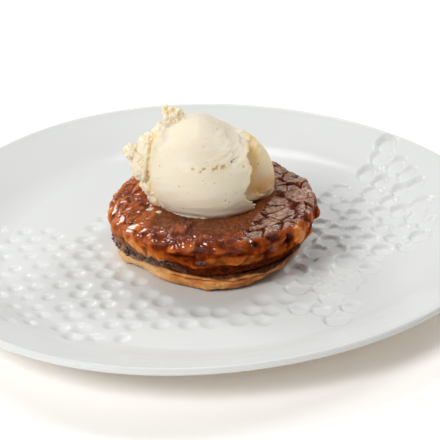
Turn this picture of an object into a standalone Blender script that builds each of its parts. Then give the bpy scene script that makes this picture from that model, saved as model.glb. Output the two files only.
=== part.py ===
"""Tarte tatin with a scoop of vanilla ice cream, served on a porcelain coupe plate.

Metres, +Z up. The origin is under the middle of the plate, on the table.
The tart is an upturned pastry dish that holds a thick cake of caramelised apple.
"""

import math
import random

import bmesh
import bpy
from mathutils import Matrix, Vector

MM = 0.001
GAP = 0.3 * MM  # air left between pieces that rest on each other

# Plate
PLATE_RADIUS = 140 * MM
PLATE_HEIGHT = 23 * MM
PLATE_FLOOR = 7.5 * MM  # top of the flat well, above the table
PLATE_WALL = 4.4 * MM
LIP_THICKNESS = 3.4 * MM
WELL_RADIUS = 98 * MM
FOOT_RADIUS = 82 * MM
FOOT_WIDTH = 4.5 * MM
FOOT_HEIGHT = 3 * MM
OUTLINE_WAVES = 3  # low swellings round the plate's free outline
OUTLINE_SHARE = 0.0192  # how far they swell, as a share of the radius
OUTLINE_TURN = 24.0  # degrees

# Tart
TART_X = 3.3 * MM
TART_Y = -5 * MM
TART_HEIGHT = 29.5 * MM
APPLE_RADIUS = 50.5 * MM
APPLE_TOP_RADIUS = 45.5 * MM
APPLE_WIDEST = 22.5 * MM  # height of the widest place
PASTRY_RADIUS = 45 * MM
PASTRY_FLOOR = 4.6 * MM
PASTRY_RIM = 8.2 * MM
RIM_THICKNESS = 2.4 * MM
CHUNK_TIERS = 3
CHUNKS_ROUND = 17
CHUNK_RELIEF = 2.2 * MM
# How the tart's round wanders at its base and at its top, as shares of the radius:
# overall, then the cosine and sine shares of two, three and four waves
BASE_OUTLINE = (-0.014, -0.004, -0.026, -0.022, 0.003, 0.019, 0.010)
TOP_OUTLINE = (-0.009, -0.003, -0.010, 0.001, -0.017, 0.008, -0.003)
BASE_SHIFT = (-1.5 * MM, 0.6 * MM)
TOP_SHIFT = (-0.2 * MM, -1.3 * MM)

# Ice cream, as half lengths along X, Y and Z of the rolled scoop
SCOOP_REACH = 31 * MM
SCOOP_DEPTH = 30 * MM
SCOOP_RISE = 25.8 * MM
SCOOP_CENTRE = (-2.5 * MM, -1.5 * MM, 13.5 * MM)  # from the middle of the top of the apples
ROLL_EDGE = 16.4 * MM  # where the outer roll tears off on the right
CROWN_FALL = 0.26  # share by which the crown has sunk on its right

ROUND_STEPS = 64
TART_STEPS = 76

COLOURS = {
    "plate": ((0.86, 0.87, 0.86), 0.12),
    "pastry_base": ((0.55, 0.27, 0.08), 0.65),
    "apple_filling": ((0.33, 0.09, 0.015), 0.22),
    "ice_cream": ((0.90, 0.83, 0.66), 0.45),
}


def smooth(low, high, value):
    """From 0 at low to 1 at high, easing in and out."""
    t = min(1.0, max(0.0, (value - low) / (high - low)))
    return t * t * (3 - 2 * t)


def clear_scene():
    for old in list(bpy.data.objects):
        bpy.data.objects.remove(old, do_unlink=True)


def new_collection(name):
    collection = bpy.data.collections.new(name)
    bpy.context.scene.collection.children.link(collection)
    return collection


def finish_of(name):
    colour, roughness = COLOURS[name]
    material = bpy.data.materials.new(name)
    material.use_nodes = True
    shader = material.node_tree.nodes["Principled BSDF"]
    shader.inputs["Base Color"].default_value = (*colour, 1.0)
    shader.inputs["Roughness"].default_value = roughness
    shader.inputs["Metallic"].default_value = 0.0
    return material


def add_object(name, mesh, collection):
    obj = bpy.data.objects.new(name, mesh)
    collection.objects.link(obj)
    if name in COLOURS:
        mesh.materials.clear()
        mesh.materials.append(finish_of(name))
    return obj


def turned_mesh(name, profile, steps):
    """The closed mesh that a half section makes when it turns about Z. It starts and ends on the axis."""
    line = bpy.data.meshes.new(name + "_section")
    line.from_pydata([(r, 0.0, z) for r, z in profile], [(i, i + 1) for i in range(len(profile) - 1)], [])
    guide = bpy.data.objects.new(name + "_section", line)
    bpy.context.scene.collection.objects.link(guide)
    screw = guide.modifiers.new("turn", "SCREW")
    screw.axis = "Z"
    screw.steps = screw.render_steps = steps
    screw.use_merge_vertices = True
    screw.merge_threshold = 0.00005
    bpy.context.view_layer.update()
    turned = guide.evaluated_get(bpy.context.evaluated_depsgraph_get())
    mesh = bpy.data.meshes.new_from_object(turned)
    mesh.name = name
    bpy.data.objects.remove(guide, do_unlink=True)
    return mesh


def shade(obj, sharp_degrees):
    obj.data.shade_smooth()
    obj.data.set_sharp_from_angle(angle=math.radians(sharp_degrees))


# ---- Plate


def flank_height(t):
    """Height share of the rising flank, from 0 where it leaves the well at a soft crease to 1 at the lip."""
    crease = 0.3
    bend = 0.4
    rise = t * t / (2 * bend) if t < bend else t - bend / 2
    return crease * t + (1 - crease) * rise / (1 - bend / 2)


def plate_section():
    """Half section: over the well, up the flank, round the lip, back under and round the foot."""
    lip = LIP_THICKNESS / 2
    lip_r = PLATE_RADIUS - lip
    lip_z = PLATE_HEIGHT - lip
    rise = PLATE_HEIGHT - PLATE_FLOOR
    points = [(0.0, PLATE_FLOOR), (WELL_RADIUS * 0.55, PLATE_FLOOR), (WELL_RADIUS, PLATE_FLOOR)]
    for i in range(1, 6):
        t = i / 6
        points.append((WELL_RADIUS + (lip_r - WELL_RADIUS) * t, PLATE_FLOOR + rise * flank_height(t)))
    for i in range(5):
        a = math.radians(105 - 50 * i)
        points.append((lip_r + lip * math.cos(a), lip_z + lip * math.sin(a)))
    foot_out = FOOT_RADIUS + FOOT_WIDTH / 2
    foot_in = FOOT_RADIUS - FOOT_WIDTH / 2
    under_foot = PLATE_FLOOR - PLATE_WALL
    for t in (0.66, 0.33, 0.0):
        wall = LIP_THICKNESS + (PLATE_WALL - LIP_THICKNESS) * (1 - t)
        points.append((WELL_RADIUS + (lip_r - WELL_RADIUS) * t, PLATE_FLOOR + rise * flank_height(t) - wall))
    points.append((foot_out + 1.5 * MM, under_foot))
    points.append((foot_out, 0.6 * MM))
    points.append((foot_out - 0.6 * MM, 0.0))
    points.append((foot_in + 0.6 * MM, 0.0))
    points.append((foot_in, 0.6 * MM))
    points.append((foot_in - 1.5 * MM, FOOT_HEIGHT))
    points.append((0.0, FOOT_HEIGHT))
    return points


def outline_stretch(angle):
    """The plate's free outline, as a share that is added to its radius."""
    return OUTLINE_SHARE * math.cos(OUTLINE_WAVES * angle + math.radians(OUTLINE_TURN))


def make_plate(collection):
    mesh = turned_mesh("plate", plate_section(), ROUND_STEPS)
    for vertex in mesh.vertices:
        x, y, z = vertex.co
        radius = math.hypot(x, y)
        stretch = outline_stretch(math.atan2(y, x)) * smooth(FOOT_RADIUS + FOOT_WIDTH, PLATE_RADIUS, radius)
        vertex.co = (x * (1 + stretch), y * (1 + stretch), z)
    for axis in (0, 1):
        values = [v.co[axis] for v in mesh.vertices]
        middle = (min(values) + max(values)) / 2
        for vertex in mesh.vertices:
            vertex.co[axis] -= middle
    plate = add_object("plate", mesh, collection)
    shade(plate, 50)
    return plate


# ---- Tart: both of its pieces are bent by the same warp, so the gap between them stays open


def wander(shares, angle):
    """How far a wandering outline stands out at one angle, as a share of the radius."""
    total = shares[0]
    for i, waves in enumerate((2, 3, 4)):
        total += shares[2 * i + 1] * math.cos(waves * angle) + shares[2 * i + 2] * math.sin(waves * angle)
    return total


def tart_warp(point):
    """Makes the ring-baked round uneven: its outline wanders, and the pastry rim rises and dips."""
    x, y, z = point
    angle = math.atan2(y, x)
    up = smooth(4 * MM, TART_HEIGHT * 0.75, z)
    outline = wander(BASE_OUTLINE, angle) * (1 - up) + wander(TOP_OUTLINE, angle) * up
    shift_x, shift_y = (low * (1 - up) + high * up for low, high in zip(BASE_SHIFT, TOP_SHIFT))
    rim = 0.5 * math.cos(3 * angle + 2.2) + 0.45 * math.cos(5 * angle) - 0.5 * math.sin(angle)
    near_rim = smooth(PASTRY_FLOOR * 0.6, PASTRY_RIM * 0.9, z) * (1 - smooth(PASTRY_RIM * 1.1, TART_HEIGHT * 0.6, z))
    far_out = smooth(PASTRY_RADIUS * 0.8, PASTRY_RADIUS * 0.93, math.hypot(x, y))
    height = z + rim * MM * near_rim * far_out
    return Vector((x * (1 + outline) + shift_x, y * (1 + outline) + shift_y, height))


def pastry_section():
    """Half section of the shallow pastry dish, from the middle of its inside to the middle of its base."""
    wall_in = PASTRY_RADIUS - RIM_THICKNESS
    return [
        (0.0, PASTRY_FLOOR),
        (PASTRY_RADIUS * 0.5, PASTRY_FLOOR),
        (wall_in - 2.2 * MM, PASTRY_FLOOR),
        (wall_in - 0.9 * MM, PASTRY_FLOOR + 0.8 * MM),
        (wall_in - 0.3 * MM, PASTRY_RIM - 0.8 * MM),
        (wall_in + 0.5 * MM, PASTRY_RIM),
        (PASTRY_RADIUS - 0.6 * MM, PASTRY_RIM - 0.3 * MM),
        (PASTRY_RADIUS + 0.3 * MM, PASTRY_RIM - 1.8 * MM),
        (PASTRY_RADIUS + 0.2 * MM, PASTRY_FLOOR),
        (PASTRY_RADIUS - 1.0 * MM, 2.2 * MM),
        (PASTRY_RADIUS - 2.9 * MM, 0.7 * MM),
        (PASTRY_RADIUS - 5.2 * MM, 0.0),
        (PASTRY_RADIUS * 0.5, 0.0),
        (0.0, 0.0),
    ]


def apple_section():
    """Half section of the apple cake: flat top, rounded shoulder, tapered side and a plug that fills the pastry."""
    wall_in = PASTRY_RADIUS - RIM_THICKNESS
    plug = 2 * GAP
    shoulder = APPLE_RADIUS - APPLE_TOP_RADIUS
    points = [(APPLE_TOP_RADIUS * share, TART_HEIGHT) for share in (0.0, 0.38, 0.66, 0.86)]
    for degrees in (72, 48, 24, 0):
        a = math.radians(degrees)
        reach = APPLE_TOP_RADIUS + shoulder * math.cos(a)
        points.append((reach, APPLE_WIDEST + (TART_HEIGHT - APPLE_WIDEST) * math.sin(a)))
    return points + [
        (APPLE_RADIUS - 0.7 * MM, 19.5 * MM),
        (APPLE_RADIUS - 2.6 * MM, 16.6 * MM),
        (APPLE_RADIUS - 3.9 * MM, 13.8 * MM),
        (APPLE_RADIUS - 4.7 * MM, 11.2 * MM),
        (wall_in + 2.4 * MM, PASTRY_RIM + 0.8 * MM),
        (wall_in + 0.4 * MM, PASTRY_RIM + plug),
        (wall_in - 0.7 * MM, PASTRY_RIM - 0.5 * MM),
        (wall_in - 1.7 * MM, PASTRY_FLOOR + 1.4 * MM),
        (wall_in - 2.9 * MM, PASTRY_FLOOR + plug),
        (0.0, PASTRY_FLOOR + plug),
    ]


def chunk_places():
    """(angle, height, half width, half height) of each apple chunk that shows in the side of the cake."""
    rng = random.Random(7)
    places = []
    low, high = PASTRY_RIM + 4 * MM, TART_HEIGHT - 3.5 * MM
    for tier in range(CHUNK_TIERS):
        height = low + (high - low) * tier / (CHUNK_TIERS - 1)
        for i in range(CHUNKS_ROUND):
            angle = 2 * math.pi * (i + 0.5 * (tier % 2) + rng.uniform(-0.24, 0.24)) / CHUNKS_ROUND
            lift = rng.uniform(-1.1, 1.1) * MM
            places.append((angle, height + lift, rng.uniform(7.5, 12) * MM, rng.uniform(3.6, 5.4) * MM))
    return places


def chunk_relief(angle, height, places):
    """How far the side stands out over its mean surface, from -1 in a groove to 1 on a chunk's crown."""
    best = -1.0
    for chunk_angle, chunk_height, half_width, half_height in places:
        turn = math.remainder(angle - chunk_angle, 2 * math.pi)
        across = turn * APPLE_RADIUS / half_width
        up = (height - chunk_height) / half_height
        best = max(best, 1 - across * across - up * up)
    return best


def make_apples(collection):
    mesh = turned_mesh("apple_filling", apple_section(), TART_STEPS)
    places = chunk_places()
    clear_of_rim = PASTRY_RIM + 1.5 * MM
    for vertex in mesh.vertices:
        x, y, z = vertex.co
        radius = math.hypot(x, y)
        angle = math.atan2(y, x)
        on_side = smooth(APPLE_RADIUS * 0.84, APPLE_RADIUS * 0.93, radius) * smooth(clear_of_rim, clear_of_rim + 2 * MM, z)
        push = CHUNK_RELIEF * 0.5 * chunk_relief(angle, z, places) * on_side
        on_top = smooth(APPLE_TOP_RADIUS * 0.7, APPLE_TOP_RADIUS, radius) * smooth(TART_HEIGHT * 0.85, TART_HEIGHT, z)
        sag = 0.6 * MM * (1 + math.cos(5 * angle + 1.2)) * on_top
        scale = 1 + push / max(radius, MM)
        vertex.co = tart_warp((x * scale, y * scale, z - sag))
    apples = add_object("apple_filling", mesh, collection)
    apples.location = (TART_X, TART_Y, PLATE_FLOOR + GAP)
    shade(apples, 40)
    return apples


def make_pastry(collection):
    mesh = turned_mesh("pastry_base", pastry_section(), TART_STEPS)
    for vertex in mesh.vertices:
        vertex.co = tart_warp(vertex.co)
    pastry = add_object("pastry_base", mesh, collection)
    pastry.location = (TART_X, TART_Y, PLATE_FLOOR + GAP)
    shade(pastry, 40)
    return pastry


# ---- Ice cream: lumps that overlap are fused into one rolled scoop


def lump(mesh, centre, radii, turn_degrees=0.0, lean_degrees=0.0, fineness=3):
    """Adds one ellipsoid to mesh, leaning about Y and then turned about Z."""
    place = (
        Matrix.Translation(centre)
        @ Matrix.Rotation(math.radians(turn_degrees), 4, "Z")
        @ Matrix.Rotation(math.radians(lean_degrees), 4, "Y")
        @ Matrix.Diagonal((*radii, 1.0))
    )
    bmesh.ops.create_icosphere(mesh, subdivisions=fineness, radius=1.0, matrix=place)


def outer_roll_edge(height):
    """X of the torn edge where the outer roll ends on the right: it wavers with height."""
    waver = 1.3 * MM * math.cos(2 * math.pi * (height - 13 * MM) / (11 * MM))
    return ROLL_EDGE + waver - 2.5 * MM * smooth(27 * MM, 38 * MM, height)


def make_scoop(collection):
    body = bmesh.new()
    lump(body, SCOOP_CENTRE, (SCOOP_REACH, SCOOP_DEPTH, SCOOP_RISE), lean_degrees=11, fineness=5)
    crown = SCOOP_CENTRE[2]
    for vertex in body.verts:
        sunk = CROWN_FALL * smooth(-8 * MM, 16 * MM, vertex.co.x)
        vertex.co.z -= sunk * max(0.0, vertex.co.z - crown)
        vertex.co.x = min(vertex.co.x, outer_roll_edge(vertex.co.z))
    # the inner roll looks out past the torn edge
    lump(body, (10.6 * MM, 2.5 * MM, 7 * MM), (18.9 * MM, 17 * MM, 24.3 * MM), lean_degrees=-13)
    # a tongue that runs out at the foot of the torn edge
    lump(body, (11 * MM, -18.5 * MM, 3.2 * MM), (10.5 * MM, 5.5 * MM, 4.2 * MM), turn_degrees=28)
    # the crumbly end on the left, from its top to its foot, then its knob
    lump(body, (-23.5 * MM, -1 * MM, 32.3 * MM), (4.9 * MM, 11 * MM, 4.9 * MM))
    lump(body, (-28.5 * MM, -3 * MM, 26.4 * MM), (7 * MM, 11 * MM, 6.1 * MM))
    lump(body, (-32.4 * MM, -3 * MM, 18.5 * MM), (6.8 * MM, 12.4 * MM, 8 * MM))
    lump(body, (-28 * MM, -3 * MM, 10 * MM), (6.8 * MM, 12.4 * MM, 8 * MM))
    lump(body, (-25.5 * MM, -3 * MM, 3.5 * MM), (6.5 * MM, 12.9 * MM, 6 * MM))
    lump(body, (-38.2 * MM, -4 * MM, 24.7 * MM), (4 * MM, 4 * MM, 4 * MM))
    # the flake that stands up on top
    lump(body, (-17.5 * MM, 4 * MM, 39.5 * MM), (4.8 * MM, 3.6 * MM, 5.4 * MM), lean_degrees=-30)
    loose = bpy.data.meshes.new("ice_cream_lumps")
    body.to_mesh(loose)
    body.free()
    guide = bpy.data.objects.new("ice_cream_lumps", loose)
    bpy.context.scene.collection.objects.link(guide)
    fuse = guide.modifiers.new("fuse", "REMESH")
    fuse.mode = "VOXEL"
    fuse.voxel_size = 1.8 * MM
    thin = guide.modifiers.new("thin", "DECIMATE")
    thin.ratio = 0.36
    bpy.context.view_layer.update()
    fused = guide.evaluated_get(bpy.context.evaluated_depsgraph_get())
    mesh = bpy.data.meshes.new_from_object(fused)
    bpy.data.objects.remove(guide, do_unlink=True)
    foot = bmesh.new()
    foot.from_mesh(mesh)
    # the melted foot is flat where it rests on the apples
    everything = foot.verts[:] + foot.edges[:] + foot.faces[:]
    cut = bmesh.ops.bisect_plane(foot, geom=everything, plane_co=(0, 0, 0), plane_no=(0, 0, 1), clear_inner=True)
    rim = [e for e in cut["geom_cut"] if isinstance(e, bmesh.types.BMEdge)]
    bmesh.ops.edgeloop_fill(foot, edges=rim)
    bmesh.ops.recalc_face_normals(foot, faces=foot.faces[:])
    foot.to_mesh(mesh)
    foot.free()
    scoop = add_object("ice_cream", mesh, collection)
    scoop.location = (TART_X, TART_Y, PLATE_FLOOR + GAP + TART_HEIGHT + GAP)
    shade(scoop, 60)
    return scoop


def main():
    clear_scene()
    collection = new_collection("tarte_tatin")
    make_plate(collection)
    make_pastry(collection)
    make_apples(collection)
    make_scoop(collection)


main()
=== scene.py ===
import math
import random
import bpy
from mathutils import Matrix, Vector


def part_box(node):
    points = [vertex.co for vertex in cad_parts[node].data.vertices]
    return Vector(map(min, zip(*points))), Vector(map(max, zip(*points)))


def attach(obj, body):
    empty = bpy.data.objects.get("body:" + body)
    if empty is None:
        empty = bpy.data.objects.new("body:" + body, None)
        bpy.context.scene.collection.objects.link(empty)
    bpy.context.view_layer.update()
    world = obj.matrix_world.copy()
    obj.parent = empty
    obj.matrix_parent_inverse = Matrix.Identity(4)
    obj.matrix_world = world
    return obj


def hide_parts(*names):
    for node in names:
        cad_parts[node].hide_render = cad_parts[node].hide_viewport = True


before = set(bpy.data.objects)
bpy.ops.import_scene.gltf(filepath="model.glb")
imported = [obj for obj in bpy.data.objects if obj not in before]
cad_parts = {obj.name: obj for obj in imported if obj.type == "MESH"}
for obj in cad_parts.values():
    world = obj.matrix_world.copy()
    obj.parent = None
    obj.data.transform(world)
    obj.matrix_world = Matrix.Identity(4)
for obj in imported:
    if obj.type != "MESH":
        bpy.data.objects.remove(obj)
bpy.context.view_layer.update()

from types import SimpleNamespace

import bmesh
import bpy
import numpy as np
from mathutils import Matrix, Vector
from mathutils.bvhtree import BVHTree

mm = 0.001
print("frame loaded:", ", ".join(sorted(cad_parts)))


def ease(low, high, value):
    # 0 at low, 1 at high, smooth in between; high may be the smaller one
    t = np.clip((value - low) / (high - low), 0.0, 1.0)
    return t * t * (3 - 2 * t)


def window(outer, inner, value):
    # 1 between the two inner values, fading to 0 at the outer ones
    return ease(outer[0], inner[0], value) * ease(outer[1], inner[1], value)


def hill(value, middle, width):
    # 1 at the middle, falling away softly on both sides
    return np.exp(-((value - middle) / width) ** 2)


def blendOf(a, b, share):
    return a + (b - a) * share


def turnedFrom(middle, angle):
    # degrees away from a place on the round, through the back where that is shorter
    return (angle - middle + 180) % 360 - 180


def roundLeft(inFront, behind, angle):
    # 1 round the far left of the tart; each pair says where that fades in
    return ease(*inFront, angle) + ease(*behind, angle)


def randomAt(cell, seed):
    # repeatable number from 0 to 1 for every lattice cell
    h = (cell[..., 0] * 73856093) ^ (cell[..., 1] * 19349663) ^ (cell[..., 2] * 83492791) ^ (seed * 668265263)
    h = h & 0xffffffff
    h = ((h ^ (h >> 15)) * 73244475) & 0xffffffff
    h = ((h ^ (h >> 13)) * 73244475) & 0xffffffff
    return ((h ^ (h >> 16)) & 0xffffff) / 0xffffff


tumble = np.array(Matrix.Rotation(0.9, 3, Vector((1, 2, 3)).normalized()))


def softNoise(points, size, seed, octaves=1, gain=0.5):
    # gradient noise, about -1 to 1; size is the width of one swell
    total, weight, reach = 0.0, 1.0, 0.0
    for octave in range(octaves):
        p = (points / size) * 2.0 ** octave @ tumble + 13.7 * (octave + 1)
        cell = np.floor(p).astype(np.int64)
        f = p - cell
        w = f * f * f * (f * (f * 6 - 15) + 10)
        value = 0.0
        for corner in ((x, y, z) for x in (0, 1) for y in (0, 1) for z in (0, 1)):
            at = cell + corner
            pull = sum((randomAt(at, seed + 7 * octave + 101 * k) * 2 - 1) * (f[..., k] - corner[k])
                       for k in range(3))
            share = 1.0
            for k in range(3):
                share = share * (w[..., k] if corner[k] else 1 - w[..., k])
            value = value + share * pull
        total = total + weight * value * 1.6
        reach += weight
        weight *= gain
    return total / reach


def drifted(points, size, seed):
    # three noises at once, to bend a pattern out of line
    return np.stack([softNoise(points, size, seed + k, 2) for k in range(3)], -1)


def lumpNoise(points, size, seed, even=0.15):
    # cells of random shape: how near the cell's middle is, the gap to the next cell, the cell's number,
    # and where its middle is
    p = points / size
    base = np.floor(p).astype(np.int64)
    near = np.full(p.shape[:-1], 9.0)
    second = near.copy()
    mark = np.zeros_like(near)
    middle = np.zeros_like(p)
    for step in ((x, y, z) for x in (-1, 0, 1) for y in (-1, 0, 1) for z in (-1, 0, 1)):
        cell = base + step
        spot = cell + even + (1 - 2 * even) * np.stack([randomAt(cell, seed + k) for k in range(3)], -1)
        away = np.sqrt(((p - spot) ** 2).sum(-1))
        closer = away < near
        second = np.where(closer, near, np.minimum(second, away))
        mark = np.where(closer, randomAt(cell, seed + 3), mark)
        middle = np.where(closer[..., None], spot, middle)
        near = np.where(closer, away, near)
    return near, second - near, mark, middle * size


def facets(points, size, seed, step, tilt, even=0.15):
    # flat faces, each at its own height and slope: their height, gap to the next face, the face's number
    _, gap, mark, middle = lumpNoise(points, size, seed, even)
    turn = mark * 44
    off = points - middle
    slope = off[..., 0] * np.cos(turn) + off[..., 1] * np.sin(turn) + 0.7 * off[..., 2] * np.sin(1.7 * turn)
    return step * (mark - 0.5) + tilt * slope, gap, mark


def spread(field, passes):
    # a grid's values blurred along and round it
    for _ in range(passes):
        field = 0.5 * field + 0.25 * (np.roll(field, 1, 1) + np.roll(field, -1, 1))
        field = np.concatenate([field[:1], 0.5 * field[1:-1] + 0.25 * (field[:-2] + field[2:]), field[-1:]])
    return field


def gridNormals(rings):
    # outward normals of a grid that closes on itself sideways
    around = np.roll(rings, -1, 1) - np.roll(rings, 1, 1)
    along = np.gradient(rings, axis=0)
    normal = np.cross(along, around)
    return normal / np.maximum(np.linalg.norm(normal, axis=-1, keepdims=True), 1e-12)


def turnOf(rings):
    # degrees round the middle
    return np.degrees(np.arctan2(rings[..., 1], rings[..., 0]))


def addPiece(name, mesh):
    piece = bpy.data.objects.new(name, mesh)
    bpy.context.scene.collection.objects.link(piece)
    return piece


def ringsToPiece(name, rings, marks):
    # a closed skin over rows of rings; the first and last rows are closed at their middle
    rows, steps = rings.shape[:2]
    top, low = rings[0].mean(0), rings[-1].mean(0)
    points = np.concatenate([rings.reshape(-1, 3), top[None], low[None]])
    i, j = np.meshgrid(np.arange(rows - 1), np.arange(steps), indexing="ij")
    k = (j + 1) % steps
    quads = np.stack([i * steps + j, (i + 1) * steps + j, (i + 1) * steps + k, i * steps + k], -1)
    quads = quads.reshape(-1, 4)
    s = np.arange(steps)
    t = (s + 1) % steps
    last = (rows - 1) * steps
    caps = np.concatenate([
        np.stack([s, t, np.full(steps, rows * steps)], -1),
        np.stack([last + t, last + s, np.full(steps, rows * steps + 1)], -1)])
    mesh = bpy.data.meshes.new(name)
    mesh.from_pydata(points.tolist(), [], quads.tolist() + caps.tolist())
    mesh.shade_smooth()
    for mark, values in marks.items():
        ends = [values[0].mean(), values[-1].mean()]
        writeMark(mesh, mark, np.concatenate([values.ravel(), ends]))
    return addPiece(name, mesh)


def writeMark(mesh, name, values):
    # a value for each point, which the materials read by its name
    mesh.attributes.new(name, "FLOAT", "POINT").data.foreach_set("value", values.astype(np.float32))


def fineSection(points, step):
    # a half section with points added so that none of its lengths is over step(r, z)
    line = [points[0]]
    for a, b in zip(points, points[1:]):
        count = max(1, math.ceil(math.dist(a, b) / step((a[0] + b[0]) / 2, (a[1] + b[1]) / 2)))
        line += [(blendOf(a[0], b[0], n / count), blendOf(a[1], b[1], n / count))
                 for n in range(1, count + 1)]
    return np.array(line)


def roundedSection(section, passes):
    # rounds the corners of a fine section and leaves its two ends where they are
    line = section.copy()
    for _ in range(passes):
        line[1:-1] = 0.25 * line[:-2] + 0.5 * line[1:-1] + 0.25 * line[2:]
    return line


def spin(section, steps):
    # turns a half section round the upright axis
    angle = np.linspace(0, 2 * math.pi, steps, endpoint=False)[None, :]
    r, z = section[:, :1], section[:, 1:]
    return np.stack([r * np.cos(angle), r * np.sin(angle), z + 0 * angle], -1)


class Finish:
    # a node material, built up one node at a time

    def __init__(self, name, scatter=None, **sockets):
        self.material = bpy.data.materials.new(name)
        self.material.use_nodes = True
        self.tree = self.material.node_tree
        self.shader = self.tree.nodes["Principled BSDF"]
        for socket, value in sockets.items():
            self.shader.inputs[socket.replace("_", " ")].default_value = value
        if scatter:
            self.shader.inputs["Subsurface Radius"].default_value = scatter

    def put(self, kind, sockets=None, **settings):
        node = self.tree.nodes.new("ShaderNode" + kind)
        for key, value in settings.items():
            setattr(node, key, value)
        for socket, value in (sockets or {}).items():
            if isinstance(value, bpy.types.NodeSocket):
                self.tree.links.new(value, node.inputs[socket])
            else:
                node.inputs[socket].default_value = value
        return node

    def mark(self, name, strength=1.0):
        value = self.put("Attribute", attribute_name=name).outputs["Fac"]
        return value if strength == 1.0 else self.math("MULTIPLY", value, strength)

    def grain(self, size, detail=3.0, rough=0.55):
        spot = self.put("TexCoord").outputs["Object"]
        sockets = {"Vector": spot, "Scale": 1 / size, "Detail": detail, "Roughness": rough}
        return self.put("TexNoise", sockets).outputs["Fac"]

    def ramp(self, value, stops):
        node = self.put("ValToRGB", {"Fac": value})
        while len(node.color_ramp.elements) < len(stops):
            node.color_ramp.elements.new(0.5)
        for element, (at, colour) in zip(node.color_ramp.elements, stops):
            element.position = at
            element.color = (*colour, 1)
        return node.outputs["Color"]

    def mix(self, share, a, b):
        node = self.put("Mix", data_type="RGBA")
        for socket, value in ((0, share), (6, a), (7, b)):
            if isinstance(value, bpy.types.NodeSocket):
                self.tree.links.new(value, node.inputs[socket])
            else:
                node.inputs[socket].default_value = (*value, 1) if isinstance(value, tuple) else value
        return node.outputs[2]

    def math(self, how, a, b):
        return self.put("Math", {0: a, 1: b}, operation=how).outputs[0]

    def fit(self, value, low, high, newLow, newHigh):
        sockets = {"Value": value, "From Min": low, "From Max": high, "To Min": newLow, "To Max": newHigh}
        return self.put("MapRange", sockets).outputs["Result"]

    def flecks(self, size, detail, rough, low, high, most):
        # share of a fleck colour: none where the grain is below low, most of it above high
        return self.fit(self.grain(size, detail, rough), low, high, 0.0, most)

    def feed(self, socket, value):
        self.tree.links.new(value, self.shader.inputs[socket])

    def bump(self, *layers):
        # layers are (height, distance in metres)
        normal = None
        for height, distance in layers:
            node = self.put("Bump", {"Height": height, "Distance": distance, "Strength": 1.0})
            if normal:
                self.tree.links.new(normal, node.inputs["Normal"])
            normal = node.outputs["Normal"]
        self.feed("Normal", normal)

    def sparkle(self, size, distance, strength):
        # a waver in the wet coat alone, which breaks up what it mirrors
        sockets = {"Height": self.grain(size, 2, 0.5), "Distance": distance, "Strength": strength}
        self.feed("Coat Normal", self.put("Bump", sockets).outputs["Normal"])


def dress(piece, finish, slot, *nodes):
    piece.data.materials.clear()
    piece.data.materials.append(finish.material)
    if nodes:
        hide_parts(*nodes)
    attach(piece, "root")
    print("made", piece.name, len(piece.data.polygons), "faces")
    return piece


plateLook = {
    "floor": 7.5 * mm, "wall": 4.4 * mm, "lip": 3.4 * mm, "wellRadius": 98 * mm, "coarseInside": 34 * mm,
    "footRadius": 82 * mm, "footWidth": 4.5 * mm, "footHeight": 3 * mm,
    "swell": 0.0192, "swellTurn": math.radians(24),  # the rim isn't quite round
    "steps": 640, "fineStep": 1.0 * mm, "wobble": 0.16 * mm,
    "wellRidge": 0.22 * mm, "ridgeWidth": 0.9 * mm, "ridgeFrom": (-80, 60), "ridgeFull": (-55, 20),
    "glaze": (0.728, 0.745, 0.735), "glazeShade": (0.708, 0.725, 0.715), "pinhole": (0.33, 0.31, 0.28),
}
dimpleLook = {
    "seed": 29, "pitch": 11.4 * mm, "rowPitch": 0.84, "jitter": (0.17, 0.15), "leftOut": 0.05,
    "size": (3.9 * mm, 5.6 * mm), "depth": (1.0 * mm, 1.7 * mm),
    # on the right they are wider and steep at the edge, at the far left small and shallow
    "rightOf": 40 * mm, "rightSize": 1.28, "rightDepth": 1.35,
    "leftOf": -72 * mm, "leftSize": 0.80, "leftDepth": 0.75,
}


def flank(t):
    # how high the plate has risen, from its well (0) to its rim (1)
    bend = 0.4
    curve = t * t / (2 * bend) if t < bend else t - bend / 2
    return 0.3 * t + 0.7 * curve / (1 - bend / 2)


def plateSection(look, rim, height):
    # the half section, from the middle of the upper side over the rim and back under the foot
    floor, well = look["floor"], look["wellRadius"]
    lip = look["lip"] / 2
    lipR, lipZ, rise = rim - lip, height - lip, height - floor
    section = [(5 * mm, floor), (look["coarseInside"], floor), (well, floor)]
    section += [(blendOf(well, lipR, t), floor + rise * flank(t)) for t in np.linspace(0.02, 0.93, 44)]
    section += [(lipR + lip * math.cos(math.radians(a)), lipZ + lip * math.sin(math.radians(a)))
                for a in range(105, -106, -21)]
    section += [(blendOf(well, lipR, t), floor + rise * flank(t) - blendOf(look["wall"], look["lip"], t))
                for t in (0.8, 0.6, 0.4, 0.2, 0.0)]
    outer, inner = look["footRadius"] + look["footWidth"] / 2, look["footRadius"] - look["footWidth"] / 2
    section += [(outer + 1.5 * mm, floor - look["wall"]), (outer, 0.6 * mm), (outer - 0.6 * mm, 0),
                (inner + 0.6 * mm, 0), (inner, 0.6 * mm), (inner - 1.5 * mm, look["footHeight"]),
                (5 * mm, look["footHeight"])]
    return section


def dimpled(x, y):
    # where the dimples are: a drift that runs in from the left, under the tart and out on the right
    angle = math.degrees(math.atan2(y, x)) % 360
    r = math.hypot(x, y) / mm
    if 166 <= angle <= 278:
        t = (angle - 166) / 112
        near = 66 - 26 * math.sin(math.pi * min(1, t * 1.2))
        far = 126 - 50 * ease(0.35, 1.0, t)
        return near < r < far
    if 150 <= angle < 166:
        return r < 62
    if angle > 303 or angle < 42:
        t = ((angle - 303) % 360) / 99
        near = 42 + 12 * abs(t - 0.5)
        far = 104 - 18 * math.sin(math.pi * min(1, t * 1.7)) + 52 * max(0.0, t - 0.5)
        return near < r < far
    return 278 < angle <= 303 and 62 < r < 80


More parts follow.
